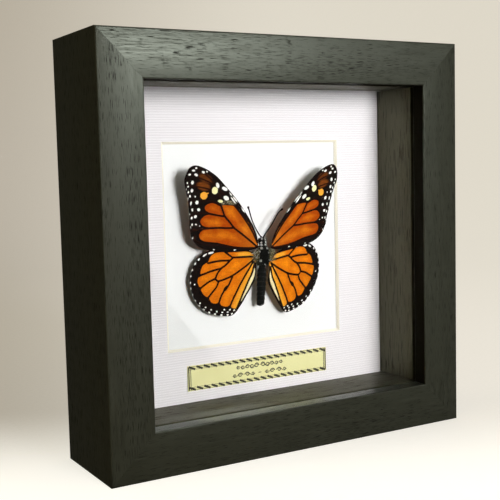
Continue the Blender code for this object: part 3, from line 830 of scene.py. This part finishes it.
for hand in ("left", "right"):
    worn = dict(marks)
    if hand == "left":
        scuffs = [(17.4, 18.2, 3.4, 1.1, 12), (20.4, 17.8, 1.6, 0.8, 0)]
        worn["bare"] = np.clip(spot_depth(net[0], scuffs) / 0.6, 0, 1)
    wing = build_wing("forewing_scaled_" + hand, net, FOREWING_SET[hand], forewing_height, worn,
                      forewing_finish)
    settle(wing, "wing_scales", "forewing_" + hand)


# ================================================================ body
# A dry body: a round head with two bead-like eyes and a pair of palps, a thorax thick with short black
# hair and dotted with tufts of white, and a long abdomen of overlapping horny rings clothed in flat
# scales.

# Stations along the body: level, sideways place, half width, height and half depth, in millimetres.
BODY = np.array([
    (2.3, -0.3, 0.5, 4.6, 0.5), (1.9, -0.3, 1.3, 4.6, 1.1), (0.9, -0.3, 1.75, 4.5, 1.4),
    (-0.2, -0.2, 1.5, 4.4, 1.3), (-0.9, -0.1, 1.2, 4.2, 1.2), (-1.9, 0.1, 1.9, 4.1, 1.8),
    (-4.0, 0.2, 2.6, 4.0, 2.3), (-6.8, 0.2, 2.7, 3.9, 2.3), (-9.0, 0.0, 2.2, 3.8, 1.9),
    (-10.4, -0.1, 1.4, 3.7, 1.4), (-12.2, -0.2, 1.8, 3.6, 1.6), (-16.0, -0.4, 1.95, 3.4, 1.75),
    (-21.0, -0.6, 1.8, 3.2, 1.7), (-25.4, -0.9, 1.65, 3.0, 1.6), (-27.0, -1.0, 1.4, 2.9, 1.3),
    (-27.8, -1.1, 0.6, 2.9, 0.6),
])
ABDOMEN_START, ABDOMEN_END, RINGS = -10.6, -27.4, 8
BODY_SIDES = 56
rng = np.random.default_rng(11)


def body_station(level):
    """Sideways place, half width, height and half depth of the body at a level, in millimetres."""
    return [np.interp(level, body_levels, body_curve[:, k]) for k in (1, 2, 3, 4)]


body_curve = curve(BODY, steps=8)[::-1]
body_levels = body_curve[:, 0]


def body_surface(level, angle, lift=0.0):
    """Points on the body. Angle 0 is the right side, and a quarter turn on is the back, which faces
    forwards."""
    x, half_width, height, half_depth = body_station(level)
    part = (ABDOMEN_START - level) / (ABDOMEN_START - ABDOMEN_END) * RINGS
    ringed = (part > 0) & (part < RINGS)
    step = np.where(ringed, 0.20 * (part % 1.0) - 0.20 * np.exp(-((part % 1.0) / 0.10) ** 2), 0.0)
    on_thorax = (level < -2.5) & (level > -8.5)
    groove = np.where(on_thorax, -0.10 * np.exp(-((angle - math.pi / 2) / 0.10) ** 2), 0.0)
    grow = step + groove + lift
    return on_mat(x + (half_width + grow) * np.cos(angle), level,
                  height + (half_depth + grow) * np.sin(angle))


# Horny cuticle under flat scales looks almost black, with a low, broken shine.
horn, tree = new_material("black horny cuticle, scaled")
place = add(tree, "TexCoord", out="Object")
flat_scales = add(tree, "VectorMath", {0: place, 1: (6000.0, 6000.0, 3500.0)}, operation="MULTIPLY")
scale = add(tree, "TexVoronoi", {"Vector": flat_scales, "Scale": 1.0}).node.outputs
each = add(tree, "SeparateColor", {0: scale["Color"]})
sheen = add(tree, "Mix", {0: each, 6: "#040404", 7: "#131412"}, data_type="RGBA", out=2)
fleck = add(tree, "Attribute", attribute_name="fleck", out="Fac")
jitter = add(tree, "MapRange", {"Value": each, "To Min": -0.12, "To Max": 0.12})
edge = add(tree, "Math", {0: fleck, 1: jitter}, operation="ADD")
white = add(tree, "MapRange", {"Value": edge, "From Min": -0.05, "From Max": 0.05})
shade = add(tree, "Mix", {0: white, 6: sheen, 7: "#efeee8"}, data_type="RGBA", out=2)
bump = add(tree, "Bump", {"Height": scale["Distance"], "Strength": 0.6, "Distance": 0.08 * MM})
skin = add(tree, "BsdfPrincipled", {"Base Color": shade, "Roughness": 0.42, "Specular IOR Level": 0.2,
                                    "Normal": bump})
add(tree, "OutputMaterial", {"Surface": skin})

# The eyes are polished beads, nearly black, whose facets are too small to see one by one.
bead, tree = new_material("dark compound eye, polished")
place = add(tree, "TexCoord", out="Object")
facets = add(tree, "TexVoronoi", {"Vector": place, "Scale": 7000.0})
eye_tone = add(tree, "Mix", {0: facets, 6: "#0a0706", 7: "#20140e"}, data_type="RGBA", out=2)
bump = add(tree, "Bump", {"Height": facets, "Strength": 0.3, "Distance": 0.02 * MM})
ball = add(tree, "BsdfPrincipled", {"Base Color": eye_tone, "Roughness": 0.18, "Normal": bump})
add(tree, "OutputMaterial", {"Surface": ball})

# White flecks on the body as (sideways place, level, radius) in millimetres.
FLECKS = [
    (-0.95, 1.9, 0.3), (0.25, 1.8, 0.26), (-1.3, 0.3, 0.32), (0.6, 0.5, 0.3), (-0.9, -0.8, 0.36),
    (0.5, -0.7, 0.3), (-1.2, -2.1, 0.4), (1.1, -2.2, 0.34), (-2.0, -3.6, 0.3), (-1.7, -7.6, 0.42),
    (1.9, -4.2, 0.3), (2.0, -7.4, 0.28), (0.1, -9.2, 0.24),
]
body_steps = np.linspace(BODY[0, 0], BODY[-1, 0], 260)
angles = np.linspace(0, 2 * math.pi, BODY_SIDES, endpoint=False)
points = np.vstack([body_surface(np.full(BODY_SIDES, level), angles) for level in body_steps])
rough = np.array([math.sin(p[0] * 9100) * math.sin(p[1] * 8300) * math.sin(p[2] * 7700) for p in points])
points[:, 1] += rough * 0.05 * MM
last_ring = (len(body_steps) - 1) * BODY_SIDES
faces = [tuple(range(BODY_SIDES))[::-1], tuple(last_ring + i for i in range(BODY_SIDES))]
for r in range(len(body_steps) - 1):
    for i in range(BODY_SIDES):
        j = (i + 1) % BODY_SIDES
        a, b = r * BODY_SIDES, (r + 1) * BODY_SIDES
        faces.append((a + i, a + j, b + j, b + i))


def add_ball(points, faces, centre, radii, sides=24):
    """Adds a closed ball to a list of points and faces, and returns the number of its faces."""
    start = len(points)
    rows = sides // 2
    made = [centre + np.array((0, 0, radii[2]))]
    for r in range(1, rows):
        tilt = math.pi * r / rows
        for i in range(sides):
            turn = 2 * math.pi * i / sides
            made.append(centre + np.array((
                radii[0] * math.sin(tilt) * math.cos(turn), radii[1] * math.sin(tilt) * math.sin(turn),
                radii[2] * math.cos(tilt))))
    made.append(centre - np.array((0, 0, radii[2])))
    before = len(faces)
    for i in range(sides):
        j = (i + 1) % sides
        faces.append((start, start + 1 + i, start + 1 + j))
        for r in range(rows - 2):
            a = start + 1 + r * sides
            faces.append((a + i, a + sides + i, a + sides + j, a + j))
        last = start + 1 + (rows - 2) * sides
        faces.append((last + i, start + len(made) - 1, last + j))
    return np.vstack([points, np.array(made)]), len(faces) - before


skin_faces = len(faces)
eye_faces = 0
for hand in (-1, 1):
    eye_middle = on_mat(np.array([-0.3 + hand * 1.25]), np.array([0.75]), np.array([4.75]))[0]
    points, more = add_ball(points, faces, eye_middle, np.array((0.85, 0.95, 0.95)) * MM)
    eye_faces += more
for hand in (-1, 1):
    palp = on_mat(np.array([-0.3 + hand * 0.5]), np.array([2.1]), np.array([4.9]))[0]
    points, more = add_ball(points, faces, palp, np.array((0.32, 0.42, 0.8)) * MM, sides=16)
body_piece = new_piece("body_cuticle", points.tolist(), faces, horn, bead, sharp=60)
for i in range(skin_faces, skin_faces + eye_faces):
    body_piece.data.polygons[i].material_index = 1
spots = np.full(len(points), -9.0)
for x, z, radius in FLECKS:
    away = np.hypot(points[:, 0] / MM - x, (points[:, 2] - middle) / MM - z)
    spots = np.where(points[:, 1] < mat_face - 4.6 * MM, np.maximum(spots, radius - away), spots)
store(body_piece, "fleck", spots)
settle(body_piece, "body_hair", "body")

# Hair on the thorax, head and wing bases: tapered blades, rooted in the skin and combed towards the tail.
# Dry hair is soft to the eye, with a slight shine along each strand.
hair_finish, tree = new_material("insect hair, dry")
tint = add(tree, "Attribute", attribute_name="tint", out="Fac")
strand = add(tree, "Attribute", attribute_name="strand", out="Fac")
black_hair = add(tree, "Mix", {0: strand, 6: "#020202", 7: "#1f201c"}, data_type="RGBA", out=2)
olive_hair = add(tree, "Mix", {0: strand, 6: "#4c4628", 7: "#a89a66"}, data_type="RGBA", out=2)
is_olive = add(tree, "MapRange", {"Value": tint, "From Min": 0.2, "From Max": 0.5})
is_white = add(tree, "MapRange", {"Value": tint, "From Min": 0.7, "From Max": 1.0})
hair_tone = add(tree, "Mix", {0: is_olive, 6: black_hair, 7: olive_hair}, data_type="RGBA", out=2)
hair_tone = add(tree, "Mix", {0: is_white, 6: hair_tone, 7: "#f0efe9"}, data_type="RGBA", out=2)
fibre = add(tree, "BsdfPrincipled", {"Base Color": hair_tone, "Roughness": 0.5, "Specular IOR Level": 0.25})
add(tree, "OutputMaterial", {"Surface": fibre})


def blades(roots, ways, lengths, width, droop):
    """Closed three-sided hairs: a root, a middle that bends with the droop, and a point."""
    across = np.cross(ways, rng.normal(size=ways.shape))
    across /= np.linalg.norm(across, axis=1)[:, None]
    other = np.cross(ways, across)
    rings = []
    for share, thick in ((0.0, 1.0), (0.55, 0.75)):
        centre = roots + ways * (lengths * share)[:, None] + droop * (lengths * share ** 2)[:, None]
        for k in range(3):
            turn = 2 * math.pi * k / 3
            rings.append(centre + (across * math.cos(turn) + other * math.sin(turn)) * width * thick / 2)
    rings.append(roots + ways * lengths[:, None] + droop * lengths[:, None])
    points = np.stack(rings, axis=1).reshape(-1, 3)
    pattern = [(2, 1, 0), (0, 1, 4, 3), (1, 2, 5, 4), (2, 0, 3, 5), (3, 4, 6), (4, 5, 6), (5, 3, 6)]
    return points, [tuple(7 * i + k for k in face) for i in range(len(roots)) for face in pattern]


def outward(level, angle):
    """The direction straight out of the body's skin."""
    x, half_width, height, half_depth = body_station(level)
    way = np.column_stack([np.cos(angle) * half_depth, -np.sin(angle) * half_width, np.zeros(len(angle))])
    return way / np.linalg.norm(way, axis=1)[:, None]


def coat(count, top, bottom, length, width, lean):
    """Hairs all round a stretch of the body."""
    level = rng.uniform(bottom, top, count)
    angle = rng.uniform(-0.5, math.pi + 0.5, count)
    ways = outward(level, angle) + rng.normal(scale=0.25, size=(count, 3)) + np.array((0.0, 0.0, -lean))
    ways /= np.linalg.norm(ways, axis=1)[:, None]
    roots = body_surface(level, angle, -0.05)
    return roots, ways, rng.uniform(0.6, 1.0, count) * length * MM, width * MM


BLACK, OLIVE, WHITE = 0.0, 0.5, 1.0
hair_points, hair_faces, tints, strands = [], [], [], []


def grow(roots, ways, lengths, width, droop, tone):
    """Adds hairs to the coat, all of one tone or each with its own."""
    points, faces = blades(roots, ways, lengths, width, np.array(droop))
    start = sum(len(p) for p in hair_points)
    hair_points.append(points)
    hair_faces.extend([tuple(start + k for k in face) for face in faces])
    values = np.broadcast_to(tone, len(roots))
    tints.append(np.repeat(values, 7))
    strands.append(np.repeat(rng.uniform(0, 1, len(roots)), 7))


roots, ways, lengths, width = coat(4200, top=-1.0, bottom=-9.8, length=0.8, width=0.09, lean=0.5)
grow(roots, ways, lengths, width, droop=(0.0, 0.0, -0.3), tone=BLACK)
roots, ways, lengths, width = coat(1500, top=2.1, bottom=-1.0, length=0.6, width=0.08, lean=-0.1)
grow(roots, ways, lengths, width, droop=(0.0, 0.0, 0.1), tone=BLACK)
roots, ways, lengths, width = coat(2600, top=-9.8, bottom=-27.4, length=0.35, width=0.10, lean=1.4)
grow(roots, ways, lengths, width, droop=(0.0, 0.0, -0.2), tone=BLACK)
for x, z, radius in FLECKS:
    count = int(150 * radius)
    spread = rng.normal(scale=radius * 0.45, size=(count, 2))
    station = body_station(np.full(count, z) + spread[:, 1])
    side_angle = np.arccos(np.clip((x + spread[:, 0] - station[0]) / station[1], -0.97, 0.97))
    roots = body_surface(z + spread[:, 1], side_angle, 0.0)
    ways = outward(z + spread[:, 1], side_angle) + rng.normal(scale=0.3, size=(count, 3))
    ways += np.array((0.0, 0.0, -0.5))
    ways /= np.linalg.norm(ways, axis=1)[:, None]
    grow(roots, ways, rng.uniform(0.5, 0.85, count) * MM, 0.12 * MM, droop=(0.0, 0.0, -0.2), tone=WHITE)
# Longer yellow-brown tufts lie over the roots of the wings.
for hand in (-1, 1):
    for level, spread, count in ((-4.6, 1.5, 520), (-6.3, 1.3, 280)):
        z = rng.normal(level, spread * 0.6, count)
        x = 0.2 + hand * (2.3 + np.abs(rng.normal(0.0, 1.1, count)))
        h = rng.uniform(4.5, 5.6, count)
        ways = np.column_stack([hand * rng.uniform(0.6, 1.2, count), rng.normal(-0.05, 0.25, count),
                                rng.normal(-0.45, 0.4, count)])
        ways /= np.linalg.norm(ways, axis=1)[:, None]
        tone = rng.choice([BLACK, OLIVE, WHITE], size=count, p=[0.45, 0.45, 0.1])
        grow(on_mat(x, z, h), ways, rng.uniform(0.7, 1.9, count) * MM, 0.1 * MM, droop=(0.0, 0.15, -0.25),
             tone=tone)
hair = new_piece("body_hair", np.vstack(hair_points).tolist(), hair_faces, hair_finish, sharp=80)
store(hair, "tint", np.concatenate(tints))
store(hair, "strand", np.concatenate(strands))
settle(hair, "body_hair")


# ================================================================ antennae
# Two thin ringed stalks of the same black horn, each swelling to a club near its end. They were spread
# forwards while the insect was soft, and set as it dried.

# Points along each stalk as (sideways place, level, height) in millimetres.
ANTENNA = {
    "left": [(-1.1, 2.4, 5.3), (-2.7, 4.2, 5.6), (-4.8, 7.4, 6.0), (-6.4, 10.8, 6.3), (-7.4, 13.9, 6.5),
             (-8.2, 16.1, 6.6)],
    "right": [(0.1, 2.6, 5.3), (1.4, 4.6, 5.6), (3.4, 7.1, 6.0), (5.4, 10.2, 6.3), (7.2, 12.8, 6.5),
              (9.4, 14.4, 6.6)],
}
STALK = 0.28
CLUB = 0.50
ANTENNA_SIDES = 12
for hand, route in ANTENNA.items():
    path = curve(route, steps=36)
    centres = on_mat(path[:, 0], path[:, 1], path[:, 2])
    share = np.linspace(0, 1, len(path))
    radius = STALK + 0.03 * np.cos(share * 2 * math.pi * 44)
    radius = radius + (CLUB - STALK) * np.exp(-((share - 0.955) / 0.055) ** 2)
    radius = np.where(share > 0.97, radius * np.sqrt(np.clip((1.004 - share) / 0.034, 0, 1)), radius) * MM
    points, faces = [], []
    for i, centre in enumerate(centres):
        way = centres[min(i + 1, len(path) - 1)] - centres[max(i - 1, 0)]
        way /= np.linalg.norm(way)
        across = np.cross(way, (0.0, 1.0, 0.0))
        across /= np.linalg.norm(across)
        over = np.cross(way, across)
        for k in range(ANTENNA_SIDES):
            turn = 2 * math.pi * k / ANTENNA_SIDES
            points.append(centre + (across * math.cos(turn) + over * math.sin(turn)) * radius[i])
    for i in range(len(path) - 1):
        for k in range(ANTENNA_SIDES):
            j = (k + 1) % ANTENNA_SIDES
            a, b = i * ANTENNA_SIDES, (i + 1) * ANTENNA_SIDES
            faces.append((a + k, a + j, b + j, b + k))
    last_ring = (len(path) - 1) * ANTENNA_SIDES
    faces += [tuple(range(ANTENNA_SIDES))[::-1], tuple(last_ring + k for k in range(ANTENNA_SIDES))]
    stalk = new_piece("antenna_ringed_" + hand, [tuple(p) for p in points], faces, horn, sharp=80)
    store(stalk, "fleck", np.full(len(points), -9.0))
    settle(stalk, "body_hair", "antenna_" + hand)


# ================================================================ back board
# A square of brown hardboard, pressed from wood fibre and sawn to size, that lies in the rebate and
# closes the back. Its rough face is outwards.

# Pressed fibre is matt brown, flecked with paler strands a millimetre or two long.
hardboard, tree = new_material("brown hardboard, pressed fibre")
place = add(tree, "TexCoord", out="Object")
fibre_place = add(tree, "VectorMath", {0: place, 1: (420.0, 420.0, 900.0)}, operation="MULTIPLY")
fibre = add(tree, "TexNoise", {"Vector": fibre_place, "Scale": 1.0, "Detail": 6.0, "Roughness": 0.7})
cloud = add(tree, "TexNoise", {"Vector": place, "Scale": 28.0, "Detail": 2.0})
fleck = add(tree, "MapRange", {"Value": fibre, "From Min": 0.35, "From Max": 0.65})
brown = add(tree, "Mix", {0: fleck, 6: "#5c3d24", 7: "#8a6238"}, data_type="RGBA", out=2)
brown = add(tree, "Mix", {0: cloud, 6: brown, 7: "#6d4a2b"}, data_type="RGBA", out=2)
bump = add(tree, "Bump", {"Height": fibre, "Strength": 0.5, "Distance": 0.12 * MM})
board = add(tree, "BsdfPrincipled", {"Base Color": brown, "Roughness": 0.75, "Normal": bump})
add(tree, "OutputMaterial", {"Surface": board})
dress("back_board", hardboard)


# ================================================================ tabs
# Flat points cut from zinc-plated steel strip, driven into the rails and bent down over the board. There
# are two on each side, and they hold everything in.

# Passivated zinc has lost its mirror: a dull pale grey with faint crystals and fine scratches.
zinc, tree = new_material("zinc plated steel, passivated")
place = add(tree, "TexCoord", out="Object")
spangle = add(tree, "TexVoronoi", {"Vector": place, "Scale": 900.0}, out="Color")
grey = add(tree, "SeparateColor", {0: spangle})
scratch_place = add(tree, "VectorMath", {0: place, 1: (400.0, 400.0, 4000.0)}, operation="MULTIPLY")
scratch = add(tree, "TexNoise", {"Vector": scratch_place, "Scale": 1.0, "Detail": 3.0})
metal_tone = add(tree, "Mix", {0: grey, 6: "#9fa5ac", 7: "#b9bfc6"}, data_type="RGBA", out=2)
dull = add(tree, "MapRange", {"Value": scratch, "From Min": 0.3, "From Max": 0.7,
                              "To Min": 0.25, "To Max": 0.45})
bump = add(tree, "Bump", {"Height": scratch, "Strength": 0.25, "Distance": 0.03 * MM})
plate = add(tree, "BsdfPrincipled", {"Base Color": metal_tone, "Metallic": 0.3, "Roughness": dull,
                                     "Normal": bump})
add(tree, "OutputMaterial", {"Surface": plate})
for name in SIDES:
    for hand in ("a", "b"):
        dress(f"tab_{name}_{hand}", zinc)


# ================================================================ hanger
# A saw-tooth hanger pressed from the same steel, held across the top of the board by two rivets. A nail
# head sits between its teeth.

for name in ("hanger", "rivet_left", "rivet_right"):
    dress(name, zinc)


# ================================================================ studio
# A pale paper sweep that glows with painted light, under a soft key lamp in front and a wide lamp overhead,
# with a small lamp at the front right for the glow on the stained wood. It isn't part of the object.

CAMERA_AZIMUTH, CAMERA_ELEVATION, CAMERA_ROLL = (math.radians(a) for a in (-30.2, 5.3, -1.4))
CAMERA_DISTANCE = 0.4056
CAMERA_TARGET = Vector((-0.00986, 0.0, 0.0828))
camera = bpy.data.objects.new("camera", bpy.data.cameras.new("camera"))
camera.data.lens = 68.9
camera.data.sensor_width = 36.0
camera.data.clip_start = 0.01
backwards = Vector((math.sin(CAMERA_AZIMUTH) * math.cos(CAMERA_ELEVATION),
                    -math.cos(CAMERA_AZIMUTH) * math.cos(CAMERA_ELEVATION), math.sin(CAMERA_ELEVATION)))
level_right = Vector((math.cos(CAMERA_AZIMUTH), math.sin(CAMERA_AZIMUTH), 0.0))
level_up = backwards.cross(level_right)
right = level_right * math.cos(CAMERA_ROLL) + level_up * math.sin(CAMERA_ROLL)
up = level_up * math.cos(CAMERA_ROLL) - level_right * math.sin(CAMERA_ROLL)
turned = Matrix((right, up, backwards)).transposed().to_4x4()
camera.matrix_world = Matrix.Translation(CAMERA_TARGET + backwards * CAMERA_DISTANCE) @ turned
bpy.context.scene.collection.objects.link(camera)
bpy.context.scene.camera = camera
bpy.context.scene.view_settings.view_transform = "Standard"
LAMP_AIM = Vector((0.10, 0.0, 0.165))


def lamp(name, azimuth, elevation, distance, size, power, colour, beam=180, lights=True, mirrored=True):
    """A round soft lamp with its beam in degrees. Azimuth 0 is in front of the frame, and 90 to its
    right."""
    light = bpy.data.lights.new(name, "AREA")
    light.shape = "DISK"
    light.size = size
    light.spread = math.radians(beam)
    light.energy = power
    light.color = linear(colour)[:3]
    placed = bpy.data.objects.new(name, light)
    a, e = math.radians(azimuth), math.radians(elevation)
    way = Vector((math.sin(a) * math.cos(e), -math.cos(a) * math.cos(e), math.sin(e)))
    placed.location = Vector((0.0, 0.0, middle)) + way * distance
    placed.rotation_euler = (placed.location - LAMP_AIM).to_track_quat("Z", "Y").to_euler()
    placed.visible_camera = False
    placed.visible_diffuse = lights
    placed.visible_glossy = mirrored
    placed.visible_transmission = mirrored
    bpy.context.scene.collection.objects.link(placed)


# The key makes the light and the shadows, and the sheen lamp only the satin glow on the stained wood.
lamp("key", azimuth=7, elevation=10, distance=1.0, size=0.38, power=1.20, colour="#fdf3fa", beam=50,
     mirrored=False)
lamp("sheen", azimuth=21, elevation=17, distance=1.0, size=0.26, power=0.31, colour="#fbfaff", beam=60,
     lights=False)
lamp("overhead", azimuth=170, elevation=78, distance=1.4, size=1.2, power=5.0, colour="#fff7e8")

# The world fills the shadows with a warm light. The camera sees it pale, and reflections see it dim.
world = bpy.data.worlds.new("studio")
world.use_nodes = True
world.node_tree.nodes.clear()
tree = world.node_tree
rays = add(tree, "LightPath").node.outputs
fill = add(tree, "Background", {"Color": "#f4cf8e", "Strength": 0.26})
dim = add(tree, "Background", {"Color": "#d8dcd6", "Strength": 0.045})
pale = add(tree, "Background", {"Color": "#e6e5e0", "Strength": 1.0})
reflected = add(tree, "Math", {0: rays["Is Glossy Ray"], 1: rays["Is Transmission Ray"]},
                operation="MAXIMUM")
unlit = add(tree, "MixShader", {0: reflected, 1: fill, 2: dim})
seen = add(tree, "MixShader", {0: rays["Is Camera Ray"], 1: unlit, 2: pale})
add(tree, "OutputWorld", {"Surface": seen})
bpy.context.scene.world = world

# Matt paper that glows with painted light. The glow is grey at the left and brightens to white towards the
# right and in front of the frame, laid out from the camera's place. It is warm in the light it throws on
# the frame and near white where the camera sees it.
sweep_paper, tree = new_material("pale studio paper, painted glow")
place = add(tree, "TexCoord", out="Object")
grain = add(tree, "TexNoise", {"Vector": place, "Scale": 500.0, "Detail": 2.0})
viewpoint = CAMERA_TARGET + backwards * CAMERA_DISTANCE
away = add(tree, "VectorMath", {0: place, 1: (viewpoint.x, viewpoint.y, 0.0)}, operation="SUBTRACT")
away = add(tree, "VectorMath", {0: away, 1: (1.0, 1.0, 0.0)}, operation="MULTIPLY")
away = add(tree, "VectorMath", {0: away}, operation="NORMALIZE")
rightwards = add(tree, "VectorMath", {0: away, 1: tuple(level_right)}, operation="DOT_PRODUCT", out="Value")
painted_light_across = add(tree, "MapRange", {"Value": rightwards, "From Min": -0.33, "From Max": 0.07,
                             "To Min": 0.24, "To Max": 0.60}, interpolation_type="SMOOTHSTEP")
depth = add(tree, "VectorMath", {0: place, 1: (-backwards.x, -backwards.y, 0.0)}, operation="DOT_PRODUCT",
            out="Value")
painted_light_in_front = add(tree, "MapRange", {"Value": depth, "From Min": 0.06, "From Max": -0.08},
             interpolation_type="SMOOTHSTEP")
# Painted light: the glow is strongest in front of the frame and weakest to the left behind it.
glow = add(tree, "Mix", {0: painted_light_in_front, 2: painted_light_across, 3: 0.95})
fine = add(tree, "Mix", {0: grain, 6: "#9d9fa0", 7: "#aaacad"}, data_type="RGBA", out=2)
direct = add(tree, "LightPath", out="Is Camera Ray")
# The painted glow is warm in the light it throws and near white to the camera.
tint = add(tree, "Mix", {0: direct, 6: "#c4a25c", 7: "#f5f5ee"}, data_type="RGBA", out=2)
paper = add(tree, "BsdfPrincipled", {"Base Color": fine, "Roughness": 0.9, "Emission Strength": glow,
                                     "Emission Color": tint})
add(tree, "OutputMaterial", {"Surface": paper})
FLOOR_RADIUS, COVE_RADIUS, COVE_HEIGHT, AROUND = 0.7, 1.3, 2.0, 96
profile = [(0.0, 0.0), (FLOOR_RADIUS, 0.0)]
profile += [(FLOOR_RADIUS + COVE_RADIUS * math.sin(a), COVE_RADIUS * (1 - math.cos(a)))
            for a in (math.pi / 2 * k / 12 for k in range(1, 13))]
profile.append((FLOOR_RADIUS + COVE_RADIUS, COVE_HEIGHT))
points = [(0.0, 0.0, 0.0)]
for radius, height in profile[1:]:
    for k in range(AROUND):
        turn = 2 * math.pi * k / AROUND
        points.append((radius * math.cos(turn), radius * math.sin(turn), height - 0.02 * MM))
faces = [(0, 1 + k, 1 + (k + 1) % AROUND) for k in range(AROUND)]
for r in range(len(profile) - 2):
    for k in range(AROUND):
        j = (k + 1) % AROUND
        a, b = 1 + r * AROUND, 1 + (r + 1) * AROUND
        faces.append((a + k, b + k, b + j, a + j))
floor = new_piece("studio_sweep", points, faces, sweep_paper)
floor.visible_glossy = False
floor.visible_transmission = False
